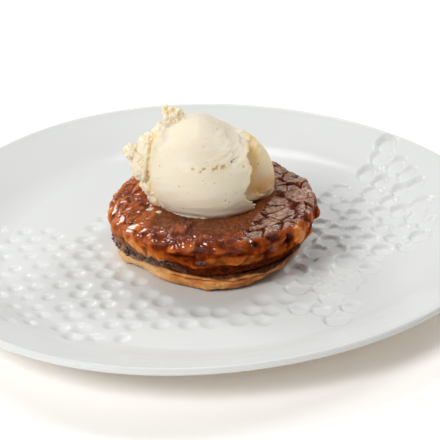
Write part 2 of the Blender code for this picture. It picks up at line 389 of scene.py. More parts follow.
def dimplePlaces(look):
    rng = random.Random(look["seed"])
    pitch = look["pitch"]
    places = []
    for row in range(-14, 15):
        for column in range(-13, 14):
            x = (column + 0.5 * (row % 2)) * pitch + rng.uniform(-1, 1) * look["jitter"][0] * pitch
            y = row * pitch * look["rowPitch"] + rng.uniform(-1, 1) * look["jitter"][1] * pitch
            radius = rng.uniform(*look["size"])
            depth = rng.uniform(*look["depth"])
            skip = rng.random() < look["leftOut"]
            if x > look["rightOf"]:
                radius, depth = radius * look["rightSize"], depth * look["rightDepth"]
            if x < look["leftOf"]:
                radius, depth = radius * look["leftSize"], depth * look["leftDepth"]
            if dimpled(x, y) and not skip:
                places.append((x, y, radius, depth))
    return places


def dimpleSink(rings, look):
    # how deep each point of the plate is pressed in
    sink = np.zeros(rings.shape[:2])
    places = dimplePlaces(look)
    for x, y, size, depth in places:
        away = ((rings[..., 0] - x) ** 2 + (rings[..., 1] - y) ** 2) / size ** 2
        bowl = ease(1.0, 0.50, away) if x > look["rightOf"] else np.clip(1 - away, 0, 1) ** 1.35
        sink = np.maximum(sink, depth * bowl)
    print("pressed", len(places), "dimples")
    return sink


def fitInto(rings, low, high):
    # stretches the outline so that it ends where the solid plate does
    for axis in (0, 1):
        values = rings[..., axis]
        share = (high[axis] - low[axis]) / (values.max() - values.min())
        rings[..., axis] = low[axis] + (values - values.min()) * share


def glazeFinish(look):
    glaze = Finish("whiteGlaze", Roughness=0.14, IOR=1.5, Specular_IOR_Level=0.13)
    colour = glaze.mix(glaze.grain(45 * mm, 2), look["glazeShade"], look["glaze"])
    spot = glaze.put("TexCoord").outputs["Object"]
    pin = glaze.put("TexVoronoi", {"Vector": spot, "Scale": 1 / (22 * mm)}).outputs["Distance"]
    colour = glaze.mix(glaze.fit(pin, 0.006, 0.016, 0.75, 0.0), colour, look["pinhole"])
    glaze.feed("Base Color", colour)
    glaze.feed("Roughness", glaze.fit(glaze.grain(9 * mm, 3), 0.3, 0.7, 0.12, 0.19))
    glaze.bump((glaze.grain(18 * mm, 1), 0.08 * mm), (glaze.grain(2.2 * mm, 2), 0.008 * mm))
    return glaze


def makePlate(look):
    low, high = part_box("plate")
    rim, well = (high - low).x / 2, look["wellRadius"]
    lipR = rim - look["lip"] / 2
    footOut = look["footRadius"] + look["footWidth"] / 2

    def step(r, z):
        return 12 * mm if z < look["floor"] - 0.1 * mm or r < look["coarseInside"] else look["fineStep"]

    rings = spin(fineSection(plateSection(look, rim, high.z), step), look["steps"])
    radius = np.hypot(rings[..., 0], rings[..., 1])
    angle = np.arctan2(rings[..., 1], rings[..., 0])
    stretch = look["swell"] * np.cos(3 * angle + look["swellTurn"]) * ease(footOut + 2.25 * mm, rim, radius)
    rings[..., :2] *= (1 + stretch)[..., None]
    # the hand-made waver of the flank, seen in what it mirrors
    onFlank = window((well, lipR), (well + 14 * mm, lipR - 6 * mm), radius)
    rings[..., 2] += look["wobble"] * softNoise(rings, 30 * mm, 5, 2) * onFlank
    ridge = hill(radius, well, look["ridgeWidth"])
    ridge = ridge * window(look["ridgeFrom"], look["ridgeFull"], np.degrees(angle))
    rings[..., 2] += look["wellRidge"] * ridge
    fitInto(rings, low, high)
    upperSide = np.arange(len(rings)) < np.argmax(rings[:, 0, 2])
    sink = dimpleSink(rings, dimpleLook)
    rings[..., 2] -= sink * upperSide[:, None]
    piece = ringsToPiece("coupePlate", rings, {"hollow": np.clip(sink / (2 * mm), 0, 1)})
    return dress(piece, glazeFinish(look), "porcelain", "plate")


makePlate(plateLook)


tartShape = {
    "x": 3.3 * mm, "y": -5 * mm, "height": 29.5 * mm,
    "appleRadius": 50.5 * mm, "topRadius": 45.5 * mm, "widest": 22.5 * mm,
    "pastryRadius": 45 * mm, "pastryFloor": 4.6 * mm, "pastryRim": 8.2 * mm, "rimThickness": 2.4 * mm,
    "gap": 0.3 * mm,
    # how the round wanders at its base and its top: overall, then cosine and sine of 2, 3 and 4 waves
    "baseOutline": (-0.014, -0.004, -0.026, -0.022, 0.003, 0.019, 0.010), "baseShift": (-1.5 * mm, 0.6 * mm),
    "topOutline": (-0.009, -0.003, -0.010, 0.001, -0.017, 0.008, -0.003), "topShift": (-0.2 * mm, -1.3 * mm),
}
tartSpot = np.array([tartShape["x"], tartShape["y"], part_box("pastry_base")[0].z])
wallInside = tartShape["pastryRadius"] - tartShape["rimThickness"]


def wander(shares, angle):
    # how far the outline strays from a circle, as a share of its radius
    total = shares[0]
    for i, waves in enumerate((2, 3, 4)):
        total = total + shares[2 * i + 1] * np.cos(waves * angle) + shares[2 * i + 2] * np.sin(waves * angle)
    return total


def tartWarp(rings):
    # the uneven outline and rim that the pastry and the apples share
    shape = tartShape
    x, y, z = rings[..., 0], rings[..., 1], rings[..., 2]
    angle = np.arctan2(y, x)
    up = ease(4 * mm, shape["height"] * 0.75, z)
    outline = blendOf(wander(shape["baseOutline"], angle), wander(shape["topOutline"], angle), up)
    shiftX, shiftY = (blendOf(a, b, up) for a, b in zip(shape["baseShift"], shape["topShift"]))
    rim = 0.5 * np.cos(3 * angle + 2.2) + 0.45 * np.cos(5 * angle) - 0.5 * np.sin(angle)
    nearRim = ease(shape["pastryFloor"] * 0.6, shape["pastryRim"] * 0.9, z)
    nearRim = nearRim * (1 - ease(shape["pastryRim"] * 1.1, shape["height"] * 0.6, z))
    farOut = ease(shape["pastryRadius"] * 0.8, shape["pastryRadius"] * 0.93, np.hypot(x, y))
    height = z + rim * mm * nearRim * farOut
    return np.stack([x * (1 + outline) + shiftX, y * (1 + outline) + shiftY, height], -1)


pastryLook = {
    "steps": 620, "fineStep": 0.40 * mm,
    "dough": 1.9 * mm, "split": 0.6 * mm, "leaf": 0.4 * mm, "blister": 0.7 * mm, "blisterSize": 6.0 * mm,
    "crumb": 0.34 * mm, "fold": 0.18 * mm, "rimRagged": 1.0 * mm, "flare": 0.9 * mm,
    "sugar": 1.1 * mm, "sugarSize": 2.2 * mm,
    # where the foot is drawn in: turn, width of the stretch, millimetres
    "drawnIn": [(-42, 28, 3.9), (-125, 10, -0.8), (-150, 11, 2.0)],
    # the last two turns say where the painted shade on the right of the pastry begins and is full
    "splitFrom": (-128, -48), "splitFull": (-112, -60), "paintedShadeFrom": (-65, 60), "paintedShadeFull": (-45, 20),
    "brown": (0.27, 0.066, 0.013), "golden": (0.55, 0.198, 0.045), "pale": (0.78, 0.385, 0.135),
    "floury": (0.90, 0.54, 0.25), "fleck": (0.85, 0.52, 0.20),
    "burnt": (0.024, 0.0050, 0.0024), "burntRed": (0.135, 0.022, 0.0045), "amber": (0.30, 0.085, 0.030),
}


def pastrySection():
    floor, rim, radius = tartShape["pastryFloor"], tartShape["pastryRim"], tartShape["pastryRadius"]
    wall = wallInside
    return [(4 * mm, floor), (wall - 2.2 * mm, floor), (wall - 0.9 * mm, floor + 0.8 * mm),
            (wall - 0.3 * mm, rim - 0.8 * mm), (wall + 0.5 * mm, rim), (radius - 0.6 * mm, rim - 0.3 * mm),
            (radius + 0.3 * mm, rim - 1.8 * mm), (radius + 0.2 * mm, floor), (radius - 0.4 * mm, 2.2 * mm),
            (radius - 1.8 * mm, 0.7 * mm), (radius - 3.6 * mm, 0.0), (4 * mm, 0.0)]


def drawFootIn(rings, look):
    # the foot of the pastry stands back under the apples in places
    turn = turnOf(rings)
    across = np.hypot(rings[..., 0], rings[..., 1])
    drawn = sum(amount * hill(turn, middle, width) for middle, width, amount in look["drawnIn"])
    drawn = drawn * mm * ease(7.0 * mm, 0.8 * mm, rings[..., 2]) * ease(25 * mm, 41 * mm, across)
    rings[..., :2] *= (1 - drawn / np.maximum(across, 1 * mm))[..., None]


def crustFinish(look):
    crust = Finish("bakedPastry", scatter=(1.0, 0.45, 0.15), Roughness=0.6, IOR=1.25, Coat_IOR=1.5,
                   Coat_Roughness=0.12, Subsurface_Weight=0.15, Subsurface_Scale=1.5 * mm)
    # this mark carries painted light and shade as well as the baked colour
    colour = crust.ramp(crust.mark("bakeAndPaintedLight"), [(0.08, look["brown"]), (0.34, look["golden"]),
                                             (0.66, look["pale"]), (0.95, look["floury"])])
    colour = crust.mix(crust.flecks(4.5 * mm, 4, 0.7, 0.48, 0.78, 0.65), colour, look["golden"])
    colour = crust.mix(crust.flecks(1.3 * mm, 4, 0.7, 0.55, 0.75, 0.6), colour, look["brown"])
    colour = crust.mix(crust.flecks(0.9 * mm, 3, 0.7, 0.55, 0.70, 0.3), colour, look["fleck"])
    # burnt sugar along the rim, redder at the far left
    red = crust.mix(crust.mark("blush"), look["burntRed"], look["amber"])
    sugar = crust.mix(crust.flecks(1.8 * mm, 4, 0.7, 0.38, 0.62, 1), look["burnt"], red)
    colour = crust.mix(crust.fit(crust.mark("upper"), 0.35, 0.8, 0, 0.97), colour, sugar)
    crust.feed("Base Color", colour)
    crust.feed("Roughness", crust.fit(crust.grain(2 * mm, 3), 0.3, 0.7, 0.42, 0.72))
    syrup = crust.fit(crust.mark("upper"), 0.4, 0.9, 0, 0.8)
    crust.feed("Coat Weight", crust.math("MULTIPLY", syrup, crust.fit(crust.mark("blush"), 0, 1, 0.15, 1)))
    crust.sparkle(2.4 * mm, 1.2 * mm, 1.0)
    crust.bump((crust.grain(1.1 * mm, 5, 0.7), 0.42 * mm), (crust.grain(0.45 * mm, 3, 0.6), 0.16 * mm))
    return crust


def liftedLeaf(look, flat, angle, z, splitZ):
    # in front the upper leaf of the pastry has lifted off the lower ones
    parted = window(look["splitFrom"], look["splitFull"], angle)
    parted = parted * ease(-0.5, 0.0, softNoise(flat, 10 * mm, 14, 2))
    leaf = parted * ease(splitZ, splitZ + 0.6 * mm, z) * softNoise(flat, 3.5 * mm, 17, 3, 0.6)
    return parted * hill(z, splitZ, 0.34 * mm), leaf


def paintedLightRound(look, angle):
    # painted light and shade: paler round the far left, darker on the right
    right = window(look["paintedShadeFrom"], look["paintedShadeFull"], angle)
    return 0.46 * roundLeft((-105, -150), (140, 176), angle) - 0.22 * right


def makePastry(look):
    rim = tartShape["pastryRim"]

    def step(r, z):
        return look["fineStep"] if r > wallInside - 2 * mm else 6 * mm

    rings = tartWarp(spin(roundedSection(fineSection(pastrySection(), step), 2), look["steps"]))
    drawFootIn(rings, look)
    normals = gridNormals(rings)
    r, angle, z = np.hypot(rings[..., 0], rings[..., 1]), turnOf(rings), rings[..., 2]
    seen = ease(wallInside - 0.4 * mm, wallInside + 0.8 * mm, r) * ease(0.0, 1.2 * mm, z)
    farLeft = roundLeft((-118, -132), (150, 170), angle)
    flat = rings * (1, 1, 0)
    wave = softNoise(flat, 13 * mm, 5, 2)
    dough = softNoise(rings * (1, 1, 1.3), 8 * mm, 8, 3)
    blistered = rings * (1, 1, 1.2) + 1.5 * mm * drifted(rings, 7 * mm, 90)
    near, _, mark, _ = lumpNoise(blistered, look["blisterSize"], 3)
    split, leaf = liftedLeaf(look, flat, angle, z, rim - 1.9 * mm + 0.9 * mm * wave)
    push = look["dough"] * dough - look["split"] * split + look["leaf"] * leaf
    push += look["blister"] * ((1 - near ** 2) - 0.65) * ease(0.35, 0.75, mark)
    push += look["crumb"] * softNoise(rings, 0.8 * mm, 12, 3, 0.65)
    push += look["fold"] * softNoise(rings, 2.2 * mm, 13, 2)
    push += look["flare"] * hill(turnedFrom(-158, angle), 0, 20)
    rings = rings + normals * (push * seen)[..., None]
    # sugar that has burnt on along the rim, and the ragged rim itself
    topBake = ease(rim - 2.0 * mm, rim + 0.1 * mm, z + 0.9 * mm * wave - 1.0 * mm * farLeft)
    near, *_ = lumpNoise(rings, look["sugarSize"], 27)
    rings = rings + normals * (topBake * seen * (look["sugar"] * ((1 - near ** 2) - 0.4)))[..., None]
    top = ease(rim - 2.2 * mm, rim, z) * ease(wallInside, wallInside + 1 * mm, r)
    rings[..., 2] += look["rimRagged"] * top * softNoise(flat, 3.2 * mm, 21, 3, 0.6)
    rings[..., 2] = np.maximum(rings[..., 2], 0.0)
    # from brown (0) to floury (1), with painted shade: darker in the split and at the foot where it meets the
    # plate, and painted light at the far left
    bakeAndPaintedLight = 0.62 + 0.34 * dough + 0.22 * (mark - 0.5) - 0.55 * split - 0.35 * ease(2.5 * mm, 0.5 * mm, z)
    bakeAndPaintedLight = np.clip(bakeAndPaintedLight, 0, 1) + 0.3 * softNoise(rings * (1, 1, 2), 4.5 * mm, 29, 3) - 0.20
    bakeAndPaintedLight = bakeAndPaintedLight + paintedLightRound(look, angle) + 0.12 * farLeft
    piece = ringsToPiece("pastryCase", rings + tartSpot, {"bakeAndPaintedLight": bakeAndPaintedLight, "upper": topBake, "blush": farLeft})
    return dress(piece, crustFinish(look), "pastry", "pastry_base")


pastryCase = makePastry(pastryLook)


appleLook = {
    "steps": 740, "fineStep": 0.43 * mm,
    "swell": 2.0 * mm, "facet": 12.0 * mm, "facetStep": 1.0 * mm, "facetTilt": 0.15, "crease": 0.4 * mm,
    "chip": 4.4 * mm, "chipStep": 0.9 * mm, "chipTilt": 0.24,
    "skin": 0.14 * mm, "rimSwell": 0.95 * mm, "rimRipple": 0.22 * mm, "flush": 2.9 * mm,
    "crumb": 2.3 * mm, "crumbRise": 0.95 * mm, "fineCrumb": 1.15 * mm, "fineCrumbRise": 0.35 * mm,
    "shelf": 25.2 * mm, "shelfWave": 1.2 * mm, "shelfOut": 0.1 * mm, "runLength": 2.2 * mm,
    "recess": 0.2 * mm, "belly": 0.5 * mm, "layer": 0.8 * mm, "overhang": 1.8 * mm,
    "gloss": 40.5 * mm,  # how far out the wet lip of the top begins
    # turns round the tart where the tall cut faces and the set caramel in front begin, and are there in full
    "tallFrom": (-72, 70), "tallFull": (-58, 40), "frontFrom": (-146, -52), "frontFull": (-134, -64),
    # the belly under the set caramel, as an oval; the flush stretch at the far left;
    # the level under the scoop
    "bellyOval": (-82, 18.2, 16.5, 3.2), "flushMiddle": 13.5 * mm, "flushReach": 6.6 * mm,
    "levelFrom": 26 * mm, "levelFull": 20 * mm, "levelSunk": 0.2 * mm,
    # where the tiles begin on the right, how much further left they do in front, where the slices begin
    "tilesFrom": 29.0 * mm, "tilesForward": 14 * mm, "slicesFrom": -24 * mm, "slicesFull": -29 * mm,
    # the burnt band: height over the pastry's rim, waver, and how it climbs at the left
    "band": 6.0 * mm, "bandWaver": 2.4 * mm, "bandClimb": 5.0 * mm, "bandLeft": 1.6 * mm,
    # hollows between the slices: turn round the tart, height, half width, half height, depth
    "hollows": [(-69, 26.0, 2.4, 1.5, 1.7), (-77, 21.6, 1.8, 1.2, 1.3), (-109, 20.9, 7.2, 2.3, 1.7),
                (-131, 19.0, 1.4, 2.6, 1.2), (-48, 21.5, 1.1, 4.0, 1.4), (-27, 20.5, 1.2, 4.2, 1.5),
                (15, 22.0, 3.6, 2.4, 2.2), (60, 21.0, 4.2, 2.6, 2.4), (100, 22.5, 3.4, 2.0, 2.2),
                (140, 21.0, 4.4, 2.4, 2.2), (-172, 20.0, 2.4, 2.2, 1.4)],
    # swollen wet places, given like the hollows
    "bulges": [(-149, 24.6, 4.0, 2.6, 0.9), (-140, 22.0, 2.2, 4.0, 1.0), (-86, 24.6, 6.0, 1.6, 0.6),
               (-40, 22.5, 3.6, 3.6, 0.9), (-58, 22.0, 3.0, 4.2, 0.9), (-168, 22.5, 3.0, 3.6, 0.6),
               (-122, 16.0, 2.4, 4.0, 1.1)],
    # glossy flat cuts on top: where, half width, half depth, leaning
    "flats": [(-38.6, -30.2, 4.6, 2.6, -0.49, -0.27), (-33.5, -34.6, 2.4, 1.6, -0.51, -0.27),
              (-44.0, -21.5, 2.0, 2.0, -0.49, -0.28), (-47.4, -11.5, 1.2, 2.2, -0.49, -0.29),
              (-43.0, -5.4, 2.4, 1.0, -0.50, -0.29), (-36.5, 2.0, 1.8, 0.8, -0.50, -0.30),
              (-47.6, 6.9, 1.0, 1.8, -0.50, -0.30), (-41.0, -13.5, 1.6, 0.8, 0.01, -0.26),
              (-38.5, -21.0, 2.0, 0.7, -0.01, -0.26), (-24.3, -38.6, 1.7, 0.8, -0.52, -0.27),
              (-29.0, -34.3, 1.4, 0.7, 0.00, -0.26), (-33.7, -29.0, 1.6, 0.8, -0.51, -0.28),
              (-27.0, -41.0, 1.0, 0.8, -0.02, -0.26), (-30.5, -38.8, 1.2, 0.9, -0.51, -0.27),
              (-19.5, -36.5, 0.7, 1.5, -0.02, -0.26), (-7.4, -36.6, 3.0, 0.7, -0.05, -0.26),
              (-3.6, -37.4, 1.6, 0.5, -0.05, -0.26), (-9.1, -43.4, 1.1, 1.6, -0.55, -0.27),
              (-12.0, -45.5, 0.9, 0.9, -0.46, -1.30), (0.4, -43.6, 1.0, 0.8, -0.06, -0.26),
              (5.1, -37.6, 0.9, 0.6, -0.07, -0.26), (8.5, -43.0, 1.2, 0.7, -0.08, -0.26),
              (14.5, -41.0, 1.2, 0.8, -0.09, -0.26), (26.9, -34.3, 2.2, 1.0, -0.11, -0.26),
              (-36.0, -17.0, 1.8, 0.8, -0.50, -0.28), (-31.0, -22.0, 1.2, 0.8, -0.01, -0.26),
              (-4.6, -48.5, 1.8, 0.7, -0.47, -1.30), (15.9, -47.0, 2.0, 0.6, -0.51, -1.30),
              (-21.5, -42.5, 1.6, 0.9, -0.52, -0.27), (-15.2, -39.4, 1.2, 0.7, -0.02, -0.26)],
    "tile": 9.0 * mm, "tileStep": 1.0 * mm, "tileTilt": 0.10, "tileCrack": 0.8 * mm, "tileWrinkle": 0.34 * mm,
    "slice": 10 * mm, "sliceTurn": 66, "sliceStep": 0.9 * mm, "sliceTilt": 0.10, "sliceCrack": 0.7 * mm,
    "fibre": 0.55 * mm, "plainWave": 0.4 * mm, "plainGrit": 0.30 * mm, "sag": 0.5 * mm,
    "cubeAt": (-15.2 * mm, -35.8 * mm), "cubeTurn": 0.35, "cubeHalf": (3.4 * mm, 5.6 * mm),
    "cubeRise": 1.5 * mm,
    "tones": [(0.05, (0.024, 0.0020, 0.0006)), (0.28, (0.080, 0.0085, 0.0012)),
              (0.50, (0.175, 0.026, 0.0030)), (0.72, (0.39, 0.075, 0.008)), (0.92, (0.56, 0.157, 0.024)),
              (1.0, (0.68, 0.24, 0.055))],
    # crumbs from black to pale pink; the palest are partly painted glints
    "crumbTonesAndGlints": [(0.37, (0.020, 0.007, 0.004)), (0.46, (0.17, 0.045, 0.020)), (0.56, (0.46, 0.21, 0.13)),
                   (0.68, (0.74, 0.50, 0.37))],
    "plainTop": (0.160, 0.047, 0.0150), "plainDark": (0.120, 0.028, 0.0075),
    "plainGrain": (0.36, 0.17, 0.095), "plainSpeck": (0.018, 0.006, 0.003),
    "plainCloud": (0.26, 0.070, 0.018),
    # the pale tile colour is a painted sheen, laid in patches over the brown
    "tileBrown": (0.125, 0.040, 0.019), "tilePaintedSheen": (0.52, 0.35, 0.255), "bellyTone": (0.46, 0.16, 0.040),
    "burnt": (0.024, 0.0050, 0.0024), "burntRed": (0.135, 0.022, 0.0045), "charred": (0.010, 0.006, 0.005),
    # the darkest colour: dark caramel in the cracks and painted shade in creases and hollows
    "crackAndShade": (0.022, 0.0022, 0.0008),
}


def appleSection():
    shape = tartShape
    rim, floor = shape["pastryRim"], shape["pastryFloor"]
    radius, crown = shape["appleRadius"], shape["topRadius"]
    top, widest, plug = shape["height"], shape["widest"], 2 * shape["gap"]
    section = [(3 * mm, top), (crown * 0.9, top)]
    section += [(crown + (radius - crown) * math.cos(math.radians(a)),
                 widest + (top - widest) * math.sin(math.radians(a))) for a in range(78, -1, -13)]
    section += [(radius - 0.7 * mm, 19.5 * mm), (radius - 2.6 * mm, 16.6 * mm),
                (radius - 3.9 * mm, 13.8 * mm), (radius - 4.7 * mm, 11.2 * mm),
                (wallInside + 2.4 * mm, rim + 0.8 * mm),
                (wallInside + 0.4 * mm, rim + plug), (wallInside - 0.7 * mm, rim - 0.5 * mm),
                (wallInside - 1.7 * mm, floor + 1.4 * mm), (wallInside - 2.9 * mm, floor + plug),
                (3 * mm, floor + plug)]
    return section


def appleGrid(look):
    # g gathers what is known about each point: first where it is, then the zones and the relief
    rim = tartShape["pastryRim"]

    def step(r, z):
        if z < rim - 1 * mm:
            return 5 * mm
        return 3 * mm if r < 15 * mm else look["fineStep"]

    g = SimpleNamespace()
    g.rings = tartWarp(spin(roundedSection(fineSection(appleSection(), step), 3), look["steps"]))
    g.normals = gridNormals(g.rings)
    g.x, g.y, g.z = g.rings[..., 0], g.rings[..., 1], g.rings[..., 2]
    g.angle, g.reach = turnOf(g.rings), np.hypot(g.x, g.y)
    g.side = ease(0.08, 0.42, 1 - g.normals[..., 2])
    g.onTop = 1 - g.side
    g.free = ease(rim + 0.3 * mm, rim + 2.2 * mm, g.z)  # no relief inside the pastry
    g.drift = drifted(g.rings, 10 * mm, 40)
    g.bent = g.rings + 2.4 * mm * g.drift + 0.7 * mm * drifted(g.rings, 2.6 * mm, 44)
    turn = np.radians(g.angle)
    g.around = np.stack([np.cos(turn), np.sin(turn), 0 * turn], -1) * 48 * mm
    return g


def sideZones(look, g):
    # tall cut faces on the right, set caramel in front, standing slices on the left
    g.tall = window(look["tallFrom"], look["tallFull"], g.angle)
    g.front = window(look["frontFrom"], look["frontFull"], g.angle)
    g.left = roundLeft((-130, -142), (150, 165), g.angle)
    g.farLeft = roundLeft((-113, -132), (150, 170), g.angle)
    g.farLeft = g.farLeft * hill(g.z, look["flushMiddle"], look["flushReach"])
    # a burnt band along the pastry, which runs over it at the far left
    edge = tartShape["pastryRim"] + look["band"] + look["bandWaver"] * softNoise(g.rings, 7 * mm, 81, 3, 0.6)
    edge = edge + look["bandClimb"] * hill(turnedFrom(-150, g.angle), 0, 16)
    edge = edge + look["bandLeft"] * roundLeft((-100, -120), (150, 176), g.angle)
    g.low = 1 - ease(edge - 0.7 * mm, edge + 0.7 * mm, g.z)
    g.overflow = hill(turnedFrom(-163, g.angle), 0, 17)


def topZones(look, g):
    # split tiles on the right, slices on the left, a wet lip, a plain patch with one cube in front
    tilesFrom = look["tilesFrom"] - look["tilesForward"] * np.clip((-5 * mm - g.y) / (33 * mm), 0, 1.1)
    g.right = ease(-1.2 * mm, 1.2 * mm, g.x - tilesFrom + 2.4 * mm * g.drift[..., 0])
    bowed = g.x + 4 * mm * g.drift[..., 1] + 5 * mm * ease(-15 * mm, -38 * mm, g.y)
    g.west = ease(look["slicesFrom"], look["slicesFull"], bowed)
    edgeDrift = 2.4 * mm * g.drift[..., 2] + 0.9 * mm * softNoise(g.rings, 2.4 * mm, 25, 2)
    g.lip = ease(look["gloss"] - 1.2 * mm, look["gloss"] + 1.2 * mm, g.reach + edgeDrift)
    g.glint = g.lip * ease(23.0 * mm, 25.5 * mm, g.z) * (1 - g.right)
    x, y = g.x - look["cubeAt"][0], g.y - look["cubeAt"][1]
    cosine, sine = math.cos(look["cubeTurn"]), math.sin(look["cubeTurn"])
    halfX, halfY = look["cubeHalf"]
    away = np.maximum(abs(x * cosine - y * sine) / halfX, abs(x * sine + y * cosine) / halfY)
    g.cube = ease(1.25, 0.9, away + 0.16 * softNoise(g.rings, 2 * mm, 78, 2))


def fromOval(g, turn, height, halfWide, halfHigh):
    # 0 at the middle of an oval on the side, 1 on its outline; sizes in millimetres
    across = turnedFrom(turn, g.angle) * math.pi / 180 * 49
    return np.hypot(across / halfWide, (g.z / mm - height) / halfHigh)


def setCaramel(look, g):
    # a shelf of caramel with short runs hangs over the recess in front; below it the apples belly out
    run = ease(0.05, 0.45, softNoise(g.around, 8 * mm, 31, 2))
    shelfZ = look["shelf"] + look["shelfWave"] * softNoise(g.around, 9 * mm, 32, 3) - look["runLength"] * run
    g.shelf = ease(shelfZ - 0.35 * mm, shelfZ + 0.35 * mm, g.z)
    g.belly = ease(1.1, 0.7, fromOval(g, *look["bellyOval"]) + 0.3 * softNoise(g.rings, 5 * mm, 35, 2))
    g.recess = g.front * (1 - g.shelf) * ease(14.0 * mm, 17.5 * mm, g.z)
    g.recess = g.recess * (0.2 + 0.8 * ease(-88, -98, g.angle))
    out = look["shelfOut"] * g.shelf * g.front - look["recess"] * g.recess
    return out + look["belly"] * g.belly * (1 - g.shelf)


def hollowsAndBulges(look, g):
    ragged = 0.7 * softNoise(g.rings, 3.0 * mm, 36, 3, 0.6)
    g.hollow = np.zeros(g.z.shape)
    for *oval, depth in look["hollows"]:
        g.hollow = np.maximum(g.hollow, depth * mm * ease(1.15, 0.45, fromOval(g, *oval) + ragged))
    g.bulge = np.zeros(g.z.shape)
    for *oval, rise in look["bulges"]:
        g.bulge = np.maximum(g.bulge, rise * mm * ease(1.2, 0.0, fromOval(g, *oval) + 0.5 * ragged))
    return g.bulge - g.hollow


def burntCrumbs(look, g):
    # two sizes of burnt sugar in the band
    near, _, g.markCrumb, _ = lumpNoise(g.bent, look["crumb"], 83)
    fine, *_ = lumpNoise(g.bent, look["fineCrumb"], 87)
    return look["crumbRise"] * ((1 - near ** 2) - 0.6) + look["fineCrumbRise"] * (0.5 - fine)


def sideRelief(look, g):
    squeeze = np.stack([1 + 0 * g.z, 1 + 0 * g.z, blendOf(0.8, 0.42, g.tall)], -1)
    big, gap, g.markBig = facets(g.bent * squeeze, look["facet"], 11, look["facetStep"], look["facetTilt"])
    g.chip, _, g.markChip = facets(g.bent, look["chip"], 17, look["chipStep"], look["chipTilt"])
    g.crease = (1 - ease(0.0, 0.22, gap)) * blendOf(0.35, 1.0, g.tall)
    swell = softNoise(g.bent, 12 * mm, 21, 2) + 0.3 * softNoise(g.bent, 5 * mm, 22, 2)
    hanging = setCaramel(look, g)
    standing = np.stack([g.around[..., 0], g.around[..., 1], (g.z + 0.5 * g.reach) * 0.30], -1)
    layers = 1 - 2.4 * abs(softNoise(standing + 1.0 * mm * g.drift, 6.0 * mm, 33, 2))
    g.rough = np.clip(0.16 + 0.2 * g.recess + 0.4 * g.belly - 0.1 * g.tall, 0, 1)
    outer = look["swell"] * swell * (1 - 0.55 * g.tall) + big * blendOf(0.35, 1.0, g.tall) + g.chip * g.rough
    outer = outer - look["crease"] * g.crease + hanging + look["layer"] * (layers - 1.4) * g.left
    outer = outer + hollowsAndBulges(look, g)
    banded = 0.3 * big + 0.4 * mm * swell + burntCrumbs(look, g) - 0.5 * mm + 0.5 * mm * g.overflow
    return blendOf(outer, banded, 0.85 * g.low)


def splitTiles(look, g, drawn):
    # flat pieces with cracks between them, laid along the round
    polar = np.stack([np.hypot(drawn[..., 0], drawn[..., 1]),
                      np.arctan2(drawn[..., 1], drawn[..., 0]) * 37 * mm, 0 * g.z], -1)
    tile, gap, _ = facets(polar, look["tile"], 61, look["tileStep"], look["tileTilt"], 0.24)
    g.whole = ease(0.01, 0.07, gap + 0.02 * softNoise(g.rings, 1.5 * mm, 64, 2))
    g.wrinkle = softNoise(g.rings, 1.5 * mm, 65, 3, 0.65)
    return tile - look["tileCrack"] * (1 - g.whole) + look["tileWrinkle"] * g.wrinkle * g.whole


def layeredSlices(look, g, drawn):
    # long slices that all point one way, with their fibres
    turn = math.radians(look["sliceTurn"])
    along = drawn[..., 0] * math.cos(turn) + drawn[..., 1] * math.sin(turn)
    across = drawn[..., 1] * math.cos(turn) - drawn[..., 0] * math.sin(turn)
    g.fibres = softNoise(np.stack([across * 3.4, along * 0.5, 0 * g.z], -1), 7 * mm, 71, 3, 0.6)
    lain = np.stack([across * 2.1, along * 0.6, 0 * g.z], -1) + 1.2 * mm * g.drift
    slices, g.gapSlice, g.markSlice = facets(lain, look["slice"], 75, look["sliceStep"], look["sliceTilt"])
    slices = slices - look["sliceCrack"] * (1 - ease(0, 0.10, g.gapSlice))
    return slices + look["fibre"] * g.fibres + 0.1 * g.chip


def topRelief(look, g):
    drawn = g.rings + 1.2 * mm * g.drift
    tiles, slices = splitTiles(look, g, drawn), layeredSlices(look, g, drawn)
    plain = look["plainWave"] * softNoise(g.rings, 9 * mm, 77, 3)
    plain = plain + look["plainGrit"] * softNoise(g.rings, 1.8 * mm, 79, 3)
    upper = blendOf(blendOf(plain, slices, g.west), tiles, g.right)
    upper = upper * (1 - 0.6 * g.cube) + look["cubeRise"] * g.cube + 0.6 * mm * g.cube * g.wrinkle
    upper = upper - look["sag"] * g.lip * (1 + np.cos(5 * np.radians(g.angle) + 1.2)) * 0.5
    level = ease(look["levelFrom"], look["levelFull"], g.reach)
    return upper * (1 - level) - look["levelSunk"] * level


def appleSurface(look, g):
    push = sideRelief(look, g) * g.side + topRelief(look, g) * g.onTop
    # the caramel has rounded all of it but the tiles and the cube
    push = blendOf(push, spread(push, 7), 0.85 * (1 - g.right * g.onTop) * (1 - 0.9 * g.cube * g.onTop))
    push += look["skin"] * softNoise(g.rings, 1.3 * mm, 23, 2)
    ripple = look["rimSwell"] * softNoise(g.bent * (0.6, 0.6, 1.5), 4.6 * mm, 24, 2)
    ripple = ripple + look["rimRipple"] * softNoise(g.rings, 1.7 * mm, 26, 2)
    push += g.lip * ease(22 * mm, 25 * mm, g.z) * ripple
    # far left the flesh and crumbs lie flush over the crust
    push += look["flush"] * g.farLeft * ease(0.0, 0.15, 1 - g.normals[..., 2])
    g.push = push
    shown = g.rings + g.normals * (push * g.free)[..., None]
    shown[..., 2] -= look["overhang"] * g.overflow * g.low * g.free * ease(14 * mm, 9.5 * mm, g.z)
    return shown


